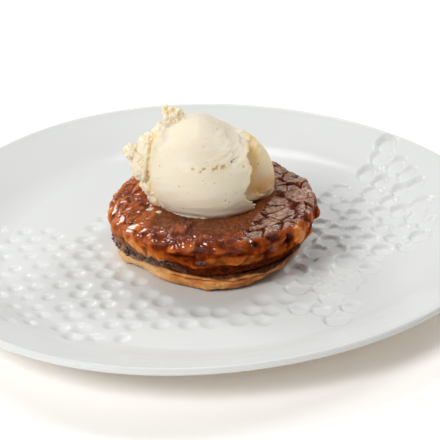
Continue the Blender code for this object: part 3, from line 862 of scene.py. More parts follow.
def pressFlats(look, g, shown):
    # cuts the glossy places flat; the result says where they are
    flats = np.zeros(g.z.shape)
    broken = 0.9 * softNoise(g.rings, 2.2 * mm, 93, 3, 0.7)
    fineWave = softNoise(g.rings, 1.6 * mm, 94)
    for atX, atY, halfX, halfY, leanX, leanY in look["flats"]:
        near = np.hypot((shown[..., 0] / mm - atX) / halfX, (shown[..., 1] / mm - atY) / halfY)
        near = np.where((g.normals[..., 2] < 0.2) | (g.z < 20 * mm), 9, near)
        facing = np.array([leanX, leanY, 1.0]) / math.sqrt(leanX ** 2 + leanY ** 2 + 1)
        off = (shown - shown[near < 1].mean(0)) @ facing
        share = ease(1.3, 0.8, near + broken)
        shown -= ((0.9 * off - 0.05 * mm * fineWave) * share)[..., None] * facing
        flats = np.maximum(flats, share)
    return flats


def appleToneAndPaintedLight(g, relief, deep):
    # from burnt red to pale gold, with painted light and shade: raised places lighter, low places darker
    sideTone = 0.47 + 0.22 * (g.markBig - 0.5) * (0.5 + 0.5 * g.tall) + 0.20 * (g.markChip - 0.5) * g.rough
    sideTone += 0.16 * softNoise(g.rings, 4 * mm, 51, 2) + 0.10 * g.belly + 0.02 * g.shelf * g.front
    sideTone += 0.02 * g.tall + 0.12 * window((-62, 40), (-48, 20), g.angle) + 0.26 * g.left
    # painted light and shade: lighter where the surface stands out, darker where it sinks, and much lighter
    # on the chunk low on the front-left that the overhang shades
    sideTone += 0.12 * relief + 0.20 * deep + 0.60 * hill(g.angle, -134, 16) * hill(g.z, 18 * mm, 6 * mm)
    plain = 0.50 + 0.16 * softNoise(g.rings, 6 * mm, 52, 2)
    topTone = blendOf(plain, 0.69 + 0.34 * g.fibres + 0.20 * (g.markSlice - 0.5), g.west)
    # painted light and shade on the top as well
    return blendOf(topTone, sideTone, g.side) + 0.10 * relief * g.onTop


def appleCracksAndShade(g, relief, deep):
    # dark caramel in the cracks between tiles and slices, and painted shade in the creases, hollows and low
    # places
    dark = g.side * (0.25 * g.crease * (1 - g.low) + 0.25 * g.hollow / mm + 0.35 * np.clip(-deep, 0, 1))
    cracks = 0.5 * (1 - ease(0, 0.12, g.gapSlice)) + 0.3 * np.clip(-relief, 0, 1)
    return dark + g.onTop * (0.75 * g.right * (1 - g.whole) + g.west * cracks)


def appleWet(g, flats):
    # how much of the coat of wet caramel shows
    damp = softNoise(g.bent, 5.5 * mm, 85, 2) + 0.4 * g.left - 0.14 + 0.5 * ease(22.0 * mm, 24.5 * mm, g.z)
    wet = g.side * (0.02 + 0.36 * ease(0.05, 0.3, damp) * (1 - 0.6 * g.front))
    wet = wet * (1 - g.low * (0.9 - 0.9 * g.overflow))
    wet += g.onTop * (0.12 + 0.75 * g.west + 0.75 * g.right * g.whole)
    specks = ease(0.02, 0.20, softNoise(g.rings, 2.6 * mm, 91, 2))
    wet += g.onTop * 0.8 * specks * (1 - g.west) * (1 - g.right)
    wet = np.maximum(np.maximum(wet, 0.8 * g.glint), 0.8 * ease(0.1 * mm, 0.7 * mm, g.bulge))
    wet = wet * (1 - 0.2 * g.hollow / mm)
    return np.maximum(np.maximum(wet, 0.85 * flats), 0.8 * g.farLeft) + 0.6 * g.cube


def appleMarks(g, flats):
    relief = np.clip((g.push - spread(g.push, 30)) / (0.45 * mm), -1, 1)
    deep = np.clip((g.push - spread(g.push, 140)) / (1.3 * mm), -1, 1)
    crumblyTurn = g.angle + 8 * softNoise(g.rings, 6 * mm, 95)
    crumbly = g.farLeft * roundLeft((-150, -162), (158, 174), crumblyTurn) * ease(19 * mm, 16 * mm, g.z)
    sparkle = g.glint * ease(49 * mm, 46.5 * mm, g.reach) + 0.8 * g.cube + 0.2 * g.left * g.side + g.farLeft
    sparkle += g.onTop * (0.5 * g.west + 0.6 * (1 - g.right) * (1 - g.west)) + g.overflow * g.low
    burnt = 0.35 + 0.65 * roundLeft((-125, -145), (150, 170), g.angle)
    return {
        # the dark mark: cracks, with painted shade in the creases and hollows
        "dark": np.clip(appleCracksAndShade(g, relief, deep), 0, 1) * g.free,
        # the tone mark carries painted light and shade with the apples' own colour
        "toneAndPaintedLight": appleToneAndPaintedLight(g, relief, deep),
        "low": g.low * g.side * (1 - 0.45 * g.overflow),
        "tile": g.right * g.onTop * g.whole,
        "plain": g.onTop * (1 - g.right) * (1 - g.west) * (1 - 0.8 * g.cube) * (1 - g.lip),
        "wet": np.clip(appleWet(g, flats), 0, 1),
        "wrinkle": 0.5 + 0.5 * g.wrinkle,
        "sparkle": np.clip(sparkle, 0, 1) * (1 - flats),
        "charred": g.low * g.side * ease(0.45, 0.8, g.markCrumb) * burnt,
        "pale": g.belly * g.side,
        "crumbly": crumbly,
    }


def plainColour(caramel, look):
    # dull brown with redder clouds, pale grains and dark specks
    cloud = caramel.flecks(2.6 * mm, 4, 0.7, 0.40, 0.62, 0.75)
    colour = caramel.mix(cloud, look["plainTop"], look["plainDark"])
    colour = caramel.mix(caramel.flecks(0.9 * mm, 3, 0.7, 0.51, 0.64, 0.8), colour, look["plainGrain"])
    colour = caramel.mix(caramel.flecks(1.2 * mm, 2, 0.5, 0.62, 0.70, 0.8), colour, look["plainSpeck"])
    return caramel.mix(caramel.flecks(7 * mm, 4, 0.65, 0.46, 0.66, 0.7), colour, look["plainCloud"])


def tileColour(caramel, look):
    # brown tiles with a pale painted sheen in patches
    patch = caramel.math("ADD", caramel.mark("wrinkle", 0.5),
                         caramel.math("MULTIPLY", caramel.grain(3.2 * mm, 5, 0.75), 0.6))
    return caramel.mix(caramel.fit(patch, 0.44, 0.66, 0, 1), look["tileBrown"], look["tilePaintedSheen"])


def caramelFinish(look):
    caramel = Finish("caramelApple", scatter=(1.0, 0.20, 0.04), Roughness=0.5, Specular_IOR_Level=0.0,
                     Subsurface_Weight=0.35, Subsurface_Scale=2.2 * mm, Coat_IOR=1.55)
    cloud = caramel.fit(caramel.grain(5 * mm, 5, 0.65), 0.3, 0.7, -0.14, 0.14)
    # the tone mark carries painted light and shade as well as the apples' own colour
    colour = caramel.ramp(caramel.math("ADD", caramel.mark("toneAndPaintedLight"), cloud), look["tones"])
    band = caramel.mix(caramel.flecks(1.8 * mm, 4, 0.7, 0.38, 0.62, 1), look["burnt"], look["burntRed"])
    # crumbs from black to pale pink, the palest partly painted glints
    crumbs = caramel.ramp(caramel.grain(1.3 * mm, 3, 0.6), look["crumbTonesAndGlints"])
    layers = [("plain", 0.85, plainColour(caramel, look)), ("tile", 0.9, tileColour(caramel, look)),
              ("pale", 0.25, look["bellyTone"]), ("low", 0.9, band), ("charred", 0.85, look["charred"]),
              ("crumbly", 0.9, crumbs)]
    for mark, share, over in layers:
        colour = caramel.mix(caramel.mark(mark, share), colour, over)
    # the darkest colour here is dark caramel in the cracks and painted shade in the creases and hollows
    colour = caramel.mix(caramel.fit(caramel.mark("dark"), 0.1, 1.0, 0, 0.9), colour, look["crackAndShade"])
    colour = caramel.mix(caramel.flecks(0.8 * mm, 3, 0.6, 0.61, 0.69, 0.5), colour, look["tones"][0][1])
    caramel.feed("Base Color", colour)
    caramel.feed("Coat Weight", caramel.mark("wet"))
    gloss = caramel.fit(caramel.grain(3 * mm, 3, 0.6), 0.3, 0.7, 0.03, 0.09)
    matt = caramel.fit(caramel.grain(1.8 * mm, 3, 0.6), 0.3, 0.7, 0.16, 0.30)
    matt = caramel.math("MULTIPLY", caramel.mark("tile"), matt)
    caramel.feed("Coat Roughness", caramel.math("ADD", gloss, matt))
    caramel.bump((caramel.grain(2.4 * mm, 3, 0.55), 0.22 * mm), (caramel.grain(0.7 * mm, 2, 0.5), 0.05 * mm))
    caramel.sparkle(3.0 * mm, 1.3 * mm, caramel.mark("sparkle"))
    return caramel


def makeApples(look):
    g = appleGrid(look)
    sideZones(look, g)
    topZones(look, g)
    shown = appleSurface(look, g)
    print("shaped the apples")
    flats = pressFlats(look, g, shown)
    piece = ringsToPiece("caramelApples", shown + tartSpot, appleMarks(g, flats))
    return dress(piece, caramelFinish(look), "caramel_apple", "apple_filling")


caramelApples = makeApples(appleLook)


scoopShape = {
    "reach": 31 * mm, "depth": 30 * mm, "rise": 25.8 * mm, "centre": (-2.5 * mm, -1.5 * mm, 13.5 * mm),
    "lean": 11, "crownFall": 0.27, "top": 44.2 * mm,
    # height and reach of the torn right edge of the outer roll, in millimetres
    "edge": [(-5, 18.0), (0.5, 19.5), (2.6, 21.0), (4.6, 19.0), (7.0, 16.9), (9.5, 15.2), (12.0, 13.8),
             (13.6, 15.0), (15.6, 16.9), (19.5, 17.9), (22.3, 17.2), (24.2, 16.3), (25.4, 14.9), (26.2, 17.3),
             (27.2, 15.6), (28.2, 14.9), (29.6, 14.9), (31.4, 13.6), (33.0, 12.2), (36.0, 9.5), (40.0, 4.0)],
    # height and reach of the roll's left edge
    "collar": [(-1, -22.6), (2.1, -23.8), (5.5, -26.4), (10.6, -29.3), (14, -30.2), (20.9, -29.7),
               (27.3, -29.0), (31, -27.8), (33.8, -26.0), (36.8, -23.4), (38.5, -21.0)],
    # the inner roll, its ledge and the core: middle, half sizes, lean, fineness
    "inside": [((10.4, 3.6, 7), (18.8, 15.4, 24.2), -13, 5), ((9.6, 2, 2.5), (19.4, 16.4, 4.4), 0, 5),
               ((-2, 0, 12), (18, 20, 20), 0, 5)],
    "foot": ((-4.2, -1.5, 0.1), (23.6, 26.0, 1.1), 0, 5),
    # torn lumps of the collar, given the same way
    "lumps": [((-23.3, -1, 32.0), (4.7, 10.5, 4.8), 0, 4), ((-28.3, -3, 26.3), (6.7, 10.8, 6.0), 0, 4),
              ((-32.2, -3, 18.5), (6.5, 12.0, 8), 0, 4), ((-27.8, -3, 10), (6.5, 12.0, 7.8), 0, 4),
              ((-25.4, -3, 3.5), (6.2, 12.4, 5.7), 0, 4), ((-37.6, -4, 24.5), (4.3, 4.2, 3.6), 12, 4)],
    # corners of the flake that stands up on the left of the top: place, roundness
    "flake": [((-21.9, 5.6, 42.3), 1.2), ((-14.6, 4.6, 40.2), 1.3), ((-20.6, 1.5, 36.0), 2.2),
              ((-15.6, 2.5, 37.0), 2.0)],
    # torn cracks across the front: both ends as (x, z), half width
    "cracks": [((-9.6, 25.7), (-8.8, 25.6), 0.55), ((-6.7, 23.7), (-4.6, 25.4), 0.55),
               ((-4.6, 25.4), (-2.2, 26.4), 0.6), ((0.0, 24.9), (2.4, 25.6), 0.85),
               ((2.4, 25.6), (5.4, 25.3), 0.95), ((5.4, 25.3), (7.6, 25.7), 0.75),
               ((7.6, 25.7), (9.9, 26.3), 0.5)],
    # single pits: x, z, radius
    "pits": [(9.2, 32.2, 0.55), (14.2, 22.9, 0.6), (5.5, 10.3, 0.6), (-15.9, 17.0, 0.55), (-4.3, 20.8, 0.4),
             (-21.0, 12.0, 0.35)],
}
scoopLook = {
    "voxel": 0.42 * mm, "drawing": 90,
    "tear": 1.5 * mm, "groove": 1.0 * mm, "face": 0.30 * mm, "swirl": 0.42 * mm, "wave": 0.40 * mm,
    "crack": 0.8 * mm, "crackRim": 0.25 * mm, "ledge": 0.8 * mm, "underLedge": 0.5 * mm,
    "innerGrain": 0.10 * mm, "grain": 0.04 * mm, "folds": 0.20 * mm, "hem": 0.5 * mm,
    # the foot's colour is melted cream with a painted warm bounce from the apples
    "cream": (0.83, 0.755, 0.605), "shade": (0.80, 0.70, 0.51), "meltAndBounce": (0.80, 0.63, 0.49),
    # the inner roll's colour is lighter and yellower than the cream: painted light and warm shade; the deep,
    # gap, seam and ledge colours are painted warm shade in the collar's creases, under the lip, in the cracks
    # and under the ledge
    "inner": (0.98, 0.79, 0.52), "torn": (0.84, 0.77, 0.61), "deep": (0.86, 0.66, 0.29),
    "gap": (1.0, 0.66, 0.25), "seam": (0.80, 0.55, 0.23), "ledgeShade": (0.90, 0.53, 0.21),
}
scoopSpot = np.array([tartShape["x"], tartShape["y"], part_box("ice_cream")[0].z])


def placed(centre, radii, turn=0.0, lean=0.0):
    # where and how a ball of radius 1 goes
    return (Matrix.Translation(Vector(centre)) @ Matrix.Rotation(math.radians(turn), 4, "Z")
            @ Matrix.Rotation(math.radians(lean), 4, "Y") @ Matrix.Diagonal((*radii, 1.0)))


def lump(lumps, matrix, fineness=4):
    bmesh.ops.create_icosphere(lumps, subdivisions=fineness, radius=1.0, matrix=matrix)


def toMetres(values):
    # from millimetres
    return [value * mm for value in values]


def lumpsToMesh(name, lumps):
    mesh = bpy.data.meshes.new(name)
    lumps.to_mesh(mesh)
    lumps.free()
    return mesh


def coordinates(mesh):
    values = np.empty(len(mesh.vertices) * 3)
    mesh.vertices.foreach_get("co", values)
    return values.reshape(-1, 3)


def vertexNormals(mesh):
    values = np.empty(len(mesh.vertices) * 3)
    mesh.vertex_normals.foreach_get("vector", values)
    return values.reshape(-1, 3)


def rollEdge(y, z):
    # how far right the outer roll reaches before it tears off
    heights, reaches = zip(*scoopShape["edge"])
    front = np.interp(z / mm, heights, reaches) * mm
    back = 14.5 * mm - 3 * mm * ease(27 * mm, 38 * mm, z)
    ragged = 2.6 * mm * softNoise(np.stack([0 * z, y * 0.3, z], -1), 3.6 * mm, 91, 3, 0.55)
    return blendOf(back, front, ease(7 * mm, 2 * mm, y)) + ragged


def leftEdge(z):
    # where the smooth outer roll ends on the left and the torn collar begins
    heights, reaches = zip(*scoopShape["collar"])
    return np.interp(z / mm, heights, reaches) * mm


def outerRoll(shape):
    # the roll ends in a thin lip: its torn face curls back in from the edge
    ball = placed(shape["centre"], (shape["reach"], shape["depth"], shape["rise"]), lean=shape["lean"])
    roll = bmesh.new()
    lump(roll, ball, 7)
    mesh = lumpsToMesh("roll", roll)
    p = coordinates(mesh)
    inward = (np.array(ball.inverted()) @ np.c_[p, np.ones(len(p))].T)[:3]
    sunk = shape["crownFall"] * ease(-8 * mm, 16 * mm, p[:, 0])
    p[:, 2] -= sunk * np.maximum(0, p[:, 2] - shape["centre"][2])
    reach = rollEdge(p[:, 1], p[:, 2])
    faceSize = np.sqrt(np.clip(1 - (reach / shape["reach"]) ** 2, 0.2, 1))
    depth = 1 - np.clip(np.hypot(inward[1], inward[2]) / faceSize, 0, 1)
    p[:, 0] = np.where(p[:, 0] > reach, reach - 7 * mm * ease(0.0, 0.45, depth), p[:, 0])
    mesh.vertices.foreach_set("co", p.ravel())
    return mesh


def standingFlake(shape):
    flake = bmesh.new()
    for spot, size in shape["flake"]:
        lump(flake, placed(toMetres(spot), [size * mm] * 3), 3)
    hull = bmesh.ops.convex_hull(flake, input=flake.verts[:])
    inside = [part for part in hull["geom_interior"] if isinstance(part, bmesh.types.BMVert)]
    bmesh.ops.delete(flake, geom=inside, context="VERTS")
    return lumpsToMesh("flake", flake)


def worked(piece):
    # the piece takes on the shape that its modifiers give it
    bpy.context.view_layer.update()
    mesh = bpy.data.meshes.new_from_object(piece.evaluated_get(bpy.context.evaluated_depsgraph_get()))
    piece.modifiers.clear()
    piece.data = mesh
    return mesh


def scoopBody(look, shape):
    # both rolls, the torn lumps and the flake, fused into one skin
    body = bmesh.new()

    def add(centre, radii, lean, fineness):
        lump(body, placed(toMetres(centre), toMetres(radii), lean=lean), fineness)

    body.from_mesh(outerRoll(shape))
    for part in shape["inside"] + shape["lumps"]:
        add(*part)
    body.from_mesh(standingFlake(shape))
    add(*shape["foot"])
    piece = addPiece("vanillaScoop", lumpsToMesh("scoopLumps", body))
    fuse = piece.modifiers.new("fuse", "REMESH")
    fuse.mode, fuse.voxel_size = "VOXEL", look["voxel"]
    worked(piece)
    return piece


def drawSmooth(look, piece):
    # the rolled cream is drawn smooth; its torn ends and edges stay sharp
    x, y, z = coordinates(piece.data).T
    beyond = x - rollEdge(y, z)
    calm = ease(-0.2 * mm, 1.6 * mm, x - leftEdge(z)) * ease(-0.8 * mm, -3 * mm, beyond)
    calm = np.maximum(calm, ease(2.5 * mm, 5 * mm, beyond)) * ease(1.5 * mm, 4 * mm, z)
    calm *= 1 - ease(34.5 * mm, 36.5 * mm, z + 0.2 * (x + 18 * mm)) * ease(-11.0 * mm, -13.0 * mm, x)
    calm = ease(0.35, 1.0, calm) ** 2
    group = piece.vertex_groups.new(name="calm")
    for level in range(1, 11):
        chosen = np.nonzero(np.round(calm * 10).astype(int) == level)[0].tolist()
        group.add(chosen, level / 10, "REPLACE")
    draw = piece.modifiers.new("draw", "SMOOTH")
    draw.factor, draw.iterations, draw.vertex_group = 0.9, look["drawing"], "calm"
    worked(piece)
    piece.vertex_groups.clear()


def awayFrom(x, z, start, end):
    # distance in the x z plane to a short line
    dx, dz = end[0] - start[0], end[1] - start[1]
    t = np.clip(((x - start[0]) * dx + (z - start[1]) * dz) / (dx * dx + dz * dz), 0, 1)
    return np.hypot(x - start[0] - t * dx, z - start[1] - t * dz)


def scoopPoints(mesh):
    # s gathers what is known about each point of the scoop
    s = SimpleNamespace(p=coordinates(mesh))
    s.x, s.y, s.z = s.p.T
    s.beyond = s.x - rollEdge(s.y, s.z)
    s.out = leftEdge(s.z) + 0.7 * mm * softNoise(s.p, 3.5 * mm, 3, 2) - s.x
    onFlake = ease(35.6 * mm, 37.2 * mm, s.z + 0.18 * (s.x + 18 * mm)) * ease(-12.0 * mm, -13.5 * mm, s.x)
    s.torn = np.maximum(ease(-0.5 * mm, 0.6 * mm, s.out), onFlake * ease(-2.5 * mm, 0.0, s.y))
    s.ripple = softNoise(s.p * (1.3, 1.3, 0.7), 4.6 * mm, 7, 2)
    s.ridges = 1 - abs(softNoise(s.p * (1.4, 1.2, 0.6), 3.4 * mm, 9, 3, 0.6)) * 2.6
    s.fine = softNoise(s.p, 1.4 * mm, 15, 3, 0.6)
    s.groove = hill(s.out, 0.7 * mm, 0.8 * mm) * window((1.5 * mm, 36 * mm), (4 * mm, 33 * mm), s.z)
    s.face = window((-1.4 * mm, 1.5 * mm), (-0.3 * mm, 0.2 * mm), s.beyond) * ease(0, -6 * mm, s.y)
    s.inner = ease(0.3 * mm, 1.2 * mm, s.beyond) * ease(0.0, 3 * mm, s.x)
    s.overLedge = (s.z - (4.1 * mm - 0.38 * (s.x - 21.5 * mm))) / (0.75 * mm)
    s.melt = ease(7 * mm, 1 * mm, s.z)
    return s


def tornRelief(look, s):
    # the collar, the flake and the edges of the outer roll
    push = look["tear"] * s.torn * (1.0 * s.ripple + 0.62 * (s.ridges - 0.35) + 0.42 * s.fine)
    return push - look["groove"] * s.groove + look["face"] * s.face * (s.fine + 0.7 * s.ripple)


def dragRelief(look, s):
    # what the scoop has drawn along the smooth roll
    bow = 0.012 / mm * (s.x + 4 * mm) * abs(s.x + 4 * mm)
    drag = softNoise(np.stack([s.x * 0.30, s.y * 0.7, (s.z - bow) * 2.0], -1), 7 * mm, 19, 3, 0.5)
    more = 0.6 + 1.6 * ease(-8 * mm, 10 * mm, s.x) * ease(20 * mm, 27 * mm, s.z)
    return (1 - s.torn) * (look["swirl"] * drag * more + look["wave"] * softNoise(s.p, 16 * mm, 27, 2))


def crackRelief(look, shape, s):
    bent = softNoise(s.p, 1.5 * mm, 37, 2)
    jagged = softNoise(s.p, 1.1 * mm, 38, 3, 0.7)
    broken = softNoise(s.p, 1.7 * mm, 39, 2)
    crack = np.zeros(len(s.p))
    for start, end, half in shape["cracks"]:
        away = awayFrom(s.x / mm, s.z / mm, start, end) / (0.8 * half) + 0.5 * bent + 1.3 * jagged
        crack = np.maximum(crack, ease(1.25, 0.55, away) * ease(-0.30, 0.05, broken))
    for spotX, spotZ, size in shape["pits"]:
        away = np.hypot(s.x / mm - spotX, s.z / mm - spotZ) / size + 0.3 * bent
        crack = np.maximum(crack, 0.8 * ease(1.2, 0.3, away))
    s.crack = crack * ease(-12 * mm, -16 * mm, s.y)  # only in front
    raised = np.clip(2.2 * s.crack, 0, 1) * (1 - s.crack)
    return look["crackRim"] * raised - look["crack"] * s.crack


def innerRelief(look, s):
    # the inner roll is granular, with a ledge that runs round its foot
    under = ease(0.5, -0.5, s.overLedge) * ease(0.2 * mm, 1.5 * mm, s.z)
    push = look["innerGrain"] * s.fine - look["ledge"] * np.exp(-s.overLedge ** 2)
    return s.inner * (push - look["underLedge"] * under)


def footRelief(look, s):
    # soft folds where it melts
    folds = np.sin(s.z / (1.0 * mm) + 3 * softNoise(s.p, 10 * mm, 67)) * ease(0.4 * mm, 1.5 * mm, s.z)
    hem = ease(1.4 * mm, 0.4 * mm, s.z) * softNoise(s.p * (1, 1, 0), 3 * mm, 69, 2)
    return look["folds"] * s.melt * folds + look["hem"] * hem


def scoopMarks(s):
    # painted shade: under the roll low down and below the ledge, in the gap under the lip, and in the
    # collar's creases
    under = ease(12 * mm, 15 * mm, s.x) * ease(-14 * mm, -10 * mm, s.y) * ease(15 * mm, 5 * mm, s.z)
    gap = s.inner * ease(7.5 * mm, 1.0 * mm, s.beyond + 1.2 * mm * s.ripple) * ease(2 * mm, 8 * mm, s.z)
    between = s.torn * ease(0.15, -0.7, s.ripple + 0.5 * (s.ridges - 0.5))
    return {
        # the seam mark paints shade into the cracks; the inner mark paints the inner roll lighter and warmer
        "torn": s.torn, "seam": s.crack, "melt": s.melt, "inner": s.inner,
        "gap": np.maximum(gap, 0.7 * s.face),
        "ledge": np.maximum(s.inner * ease(7.0, -1.0, s.overLedge), under),
        "deep": np.maximum(between, s.groove),
    }


def creamMaterial(look):
    cream = Finish("vanillaCream", scatter=(1.0, 0.70, 0.36), Roughness=0.45, IOR=1.36, Subsurface_Weight=0.6,
                   Subsurface_Scale=4.0 * mm, Coat_Weight=0.12, Coat_Roughness=0.3)
    colour = cream.mix(cream.flecks(9 * mm, 3, 0.55, 0.35, 0.7, 0.4), look["cream"], look["shade"])
    # the inner, deep, gap, seam and ledge colours are painted light and warm shade
    for mark, share, over in (("torn", 0.6, "torn"), ("deep", 0.85, "deep"), ("inner", 1.0, "inner"),
                              ("gap", 0.85, "gap"), ("seam", 0.95, "seam"), ("ledge", 0.9, "ledgeShade"),
                              # at the foot: melted cream with a painted warm bounce
                              ("melt", 0.35, "meltAndBounce")):
        colour = cream.mix(cream.mark(mark, share), colour, look[over])
    cream.feed("Base Color", colour)
    cream.feed("Roughness", cream.fit(cream.mark("melt"), 0.2, 1, 0.48, 0.25))
    cream.bump((cream.grain(2.6 * mm, 4, 0.6), 0.08 * mm), (cream.grain(0.5 * mm, 3, 0.6), 0.035 * mm))
    return cream


creamFinish = creamMaterial(scoopLook)


def makeScoop(look, shape):
    piece = scoopBody(look, shape)
    drawSmooth(look, piece)
    print("rolled the scoop")
    mesh = piece.data
    normals = vertexNormals(mesh)
    s = scoopPoints(mesh)
    push = tornRelief(look, s) + dragRelief(look, s) + crackRelief(look, shape, s) + innerRelief(look, s)
    push += look["grain"] * softNoise(s.p, 0.9 * mm, 63, 2) + footRelief(look, s)
    p = s.p + normals * push[:, None]
    p[:, 2] = np.clip(p[:, 2], -0.35 * mm, shape["top"])
    mesh.vertices.foreach_set("co", (p + scoopSpot).ravel())
    for name, values in scoopMarks(s).items():
        writeMark(mesh, name, np.clip(values, 0, 1))
    mesh.shade_smooth()
    mesh.update()
    return dress(piece, creamFinish, "ice_cream", "ice_cream")


vanillaScoop = makeScoop(scoopLook, scoopShape)


seedLook = {
    "count": 110, "size": (0.09 * mm, 0.20 * mm), "heights": (1.5 * mm, 38 * mm), "fromX": -27 * mm,
    "dark": (0.035, 0.022, 0.016), "light": (0.16, 0.10, 0.06),
}


def scatterOn(piece, count, seed, allowed):
    # places and normals picked over a piece's faces, as (place, normal)
    rng = random.Random(seed)
    mesh = piece.data
    areas = np.empty(len(mesh.polygons))
    mesh.polygons.foreach_get("area", areas)
    steps = np.cumsum(areas)
    found = []
    while len(found) < count:
        face = mesh.polygons[int(np.searchsorted(steps, rng.random() * steps[-1]))]
        if allowed(face.center, face.normal):
            found.append((face.center.copy(), face.normal.copy()))
    return found


def seedFinish(look):
    seed = Finish("vanillaSeed", Roughness=0.5)
    seed.feed("Base Color", seed.mix(seed.grain(1 * mm, 2), look["dark"], look["light"]))
    return seed


def makeSeeds(look):
    # vanilla seeds: tiny dark grains half sunk in the cream
    lowest, highest = (scoopSpot[2] + height for height in look["heights"])

    def onCream(centre, normal):
        return lowest < centre.z < highest and normal.z > -0.5 and centre.x > scoopSpot[0] + look["fromX"]

    spots = scatterOn(vanillaScoop, look["count"], 5, onCream)
    rng = random.Random(8)
    grains = bmesh.new()
    for place, normal in spots:
        size = rng.uniform(*look["size"])
        upright = normal.to_track_quat("Z", "X").to_matrix().to_4x4()
        turn = upright @ Matrix.Rotation(rng.uniform(0, 6.3), 4, "Z")
        radii = (size * rng.uniform(1, 1.6), size, size * 0.6, 1)
        lump(grains, Matrix.Translation(place) @ turn @ Matrix.Diagonal(radii), 2)
    mesh = lumpsToMesh("vanillaSeeds", grains)
    mesh.shade_smooth()
    return dress(addPiece("vanillaSeeds", mesh), seedFinish(look), "ice_cream")


makeSeeds(seedLook)


def skinOf(piece):
    return BVHTree.FromObject(piece, bpy.context.evaluated_depsgraph_get())


def fromAbove(skin, x, y):
    # where a line straight down meets the skin; millimetres from the middle of the tart
    start = Vector((tartSpot[0] + x * mm, tartSpot[1] + y * mm, 60 * mm))
    return skin.ray_cast(start, Vector((0, 0, -1)))[0]


def fromOutside(skins, turn, height):
    # the first place that a level line in towards the tart's middle meets
    a = math.radians(turn)
    out = Vector((math.cos(a), math.sin(a), 0))
    start = Vector((tartSpot[0], tartSpot[1], tartSpot[2] + height * mm)) + out * 80 * mm
    hits = [hit for hit in (skin.ray_cast(start, -out) for skin in skins) if hit[0]]
    return min(hits, key=lambda hit: hit[3])[0]


def pushOut(mesh, amount):
    p = coordinates(mesh) + vertexNormals(mesh) * amount[:, None]
    mesh.vertices.foreach_set("co", p.ravel())
    mesh.shade_smooth()


charLook = {
    # caramel burnt to black at the edges of the apples: place from the middle of the tart, size, turn
    "onTop": [((-12.8, -30.6), (2.3, 1.0, 0.7), 14), ((39.4, 14.6), (2.8, 1.2, 0.8), 28),
              ((14.0, 36.0), (2.4, 1.2, 0.8), 10)],
    # the same on the side: turn round the tart and height, size
    "onSide": [((-98, 18.2), (2.5, 1.4, 1.5)), ((-30, 11.5), (2.0, 1.1, 1.1)), ((78, 13.0), (2.2, 1.3, 1.3))],
    # burnt sugar grains in the seam on the left
    "grains": 75, "grainAngles": (-170, -116), "grainHeights": (10.4, 16.0), "grainSize": (0.35, 0.78),
    "lumpy": 1.3 * mm, "jagged": 0.9 * mm,
    "black": (0.006, 0.004, 0.004), "brown": (0.17, 0.040, 0.018),
}


def charFinish(look):
    char = Finish("burntSugar", Roughness=0.35, IOR=1.4, Coat_Weight=0.6, Coat_Roughness=0.1)
    brown = char.flecks(2.6 * mm, 3, 0.6, 0.47, 0.56, 1)
    char.feed("Base Color", char.mix(brown, look["black"], look["brown"]))
    char.bump((char.grain(0.6 * mm, 4, 0.7), 0.2 * mm))
    return char


def makeChar(look):
    apples, crust = skinOf(caramelApples), skinOf(pastryCase)
    bits = bmesh.new()
    for spot, size, turn in look["onTop"]:
        lump(bits, placed(fromAbove(apples, *spot), toMetres(size), turn))
    for (turn, height), size in look["onSide"]:
        lump(bits, placed(fromOutside([apples], turn, height), toMetres(size), turn + 90))
    chance = np.random.default_rng(31)
    for _ in range(look["grains"]):
        roll, turn = chance.uniform(0, 6.2), chance.uniform(*look["grainAngles"])
        size, height = chance.uniform(*look["grainSize"]) * mm, chance.uniform(*look["grainHeights"])
        spot = fromOutside([apples, crust], turn, height)
        grain = Matrix.Rotation(roll, 4, "X") @ Matrix.Diagonal((size, 1.5 * size, size, 1))
        lump(bits, Matrix.Translation(spot) @ grain, 3)
    mesh = lumpsToMesh("charredBits", bits)
    p = coordinates(mesh)
    _, _, mark, _ = lumpNoise(p, 1.7 * mm, 4)
    pushOut(mesh, (mark - 0.7) * look["lumpy"] + look["jagged"] * softNoise(p, 1.2 * mm, 9, 3, 0.6))
    return dress(addPiece("charredBits", mesh), charFinish(look), "caramel_apple")


makeChar(charLook)


dropLook = {
    "drops": [((-29.9, -14.6), (2.5, 1.5, 0.5), 14), ((-26.2, -19.2), (1.6, 1.2, 0.45), 20),
              ((-31.5, -9.0), (1.0, 0.6, 0.3), 50)],
    "uneven": 0.3 * mm,
}


def makeDrops(look):
    # melted cream that has run off the foot
    apples = skinOf(caramelApples)
    drops = bmesh.new()
    for spot, size, turn in look["drops"]:
        lump(drops, placed(fromAbove(apples, *spot), toMetres(size), turn))
    mesh = lumpsToMesh("meltedDrops", drops)
    pushOut(mesh, look["uneven"] * softNoise(coordinates(mesh), 1.6 * mm, 6, 2))
    return dress(addPiece("meltedDrops", mesh), creamFinish, "ice_cream")


makeDrops(dropLook)


tableLook = {
    "half": 3.0, "white": (0.94, 0.945, 0.95), "whiter": (0.95, 0.955, 0.96),
    "glow": (1.0, 0.74, 0.50, 1), "glowStrength": 0.13,
}


def tableFinish(look):
    white = Finish("whiteTable", Roughness=0.85, Emission_Color=look["glow"],
                   Emission_Strength=look["glowStrength"])
    white.feed("Base Color", white.mix(white.grain(0.5, 2), look["white"], look["whiter"]))
    return white


def makeTable(look):
    half = look["half"]
    corners = [(-half, -half, 0), (half, -half, 0), (half, half, 0), (-half, half, 0)]
    mesh = bpy.data.meshes.new("tableTop")
    mesh.from_pydata(corners, [], [(0, 1, 2, 3)])
    table = addPiece("tableTop", mesh)
    mesh.materials.append(tableFinish(look).material)


makeTable(tableLook)


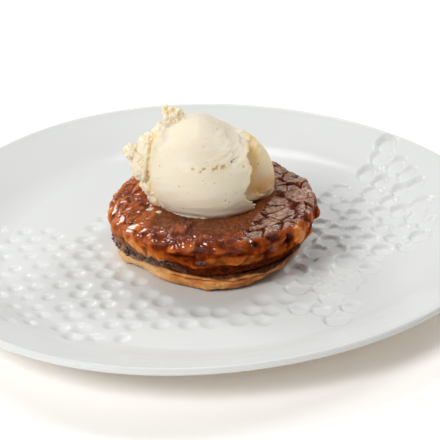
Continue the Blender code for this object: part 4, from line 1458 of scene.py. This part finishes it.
lightLook = {
    # name: place, aim, width, height, watts, colour
    "keySoftbox": ((-0.717, -0.797, 0.90), (0, 0, 0.02), 0.45, 0.45, 12.2, (1.0, 0.995, 0.985)),
    "leftSoftbox": ((-0.85, 0.85, 0.85), (0, 0, 0.02), 0.38, 0.38, 5.4, (0.99, 0.995, 1.0)),
    "rightSoftbox": ((0.90, 0.65, 0.95), (0, 0, 0.02), 0.5, 0.5, 6.4, (1.0, 0.995, 0.985)),
    "backSoftbox": ((-0.1, 0.85, 1.25), (0, 0, 0.02), 0.40, 0.26, 3.6, (1.0, 1.0, 1.0)),
    "overhead": ((-0.1, 0.2, 1.4), (0, 0, 0.02), 0.9, 0.8, 1.0, (1.0, 1.0, 1.0)),
}
worldLook = {"colour": (1, 0.985, 0.96, 1), "strength": 0.22}


def makeLights(lamps, surroundings):
    for name, (place, aim, width, height, watts, colour) in lamps.items():
        data = bpy.data.lights.new(name, "AREA")
        data.shape, data.size, data.size_y = "RECTANGLE", width, height
        data.energy, data.color = watts, colour
        lamp = addPiece(name, data)
        lamp.location = place
        lamp.rotation_euler = (Vector(aim) - Vector(place)).to_track_quat("-Z", "Y").to_euler()
    world = bpy.data.worlds.new("studio")
    world.use_nodes = True
    background = world.node_tree.nodes["Background"]
    background.inputs["Color"].default_value = surroundings["colour"]
    background.inputs["Strength"].default_value = surroundings["strength"]
    bpy.context.scene.world = world


makeLights(lightLook, worldLook)


cameraLook = {
    "aim": (0.0058, 0.0394, 0), "distance": 0.85, "elevation": 27.07, "roll": -1.61,
    "lens": 135.4, "sensor": 36, "near": 0.01, "far": 20,
}


def makeCamera(look):
    e, roll = math.radians(look["elevation"]), math.radians(look["roll"])
    back = Vector((0, -math.cos(e), math.sin(e)))
    right, up = Vector((1, 0, 0)), Vector((0, math.sin(e), math.cos(e)))
    turnedRight = math.cos(roll) * right + math.sin(roll) * up
    turnedUp = math.cos(roll) * up - math.sin(roll) * right
    axes = Matrix((turnedRight, turnedUp, back)).transposed()
    data = bpy.data.cameras.new("camera")
    data.lens, data.sensor_width = look["lens"], look["sensor"]
    data.clip_start, data.clip_end = look["near"], look["far"]
    camera = addPiece("camera", data)
    camera.matrix_world = Matrix.Translation(Vector(look["aim"]) + back * look["distance"]) @ axes.to_4x4()
    bpy.context.scene.camera = camera


makeCamera(cameraLook)
bpy.context.scene.view_settings.view_transform = "Standard"
print("table, lights and camera are in place")
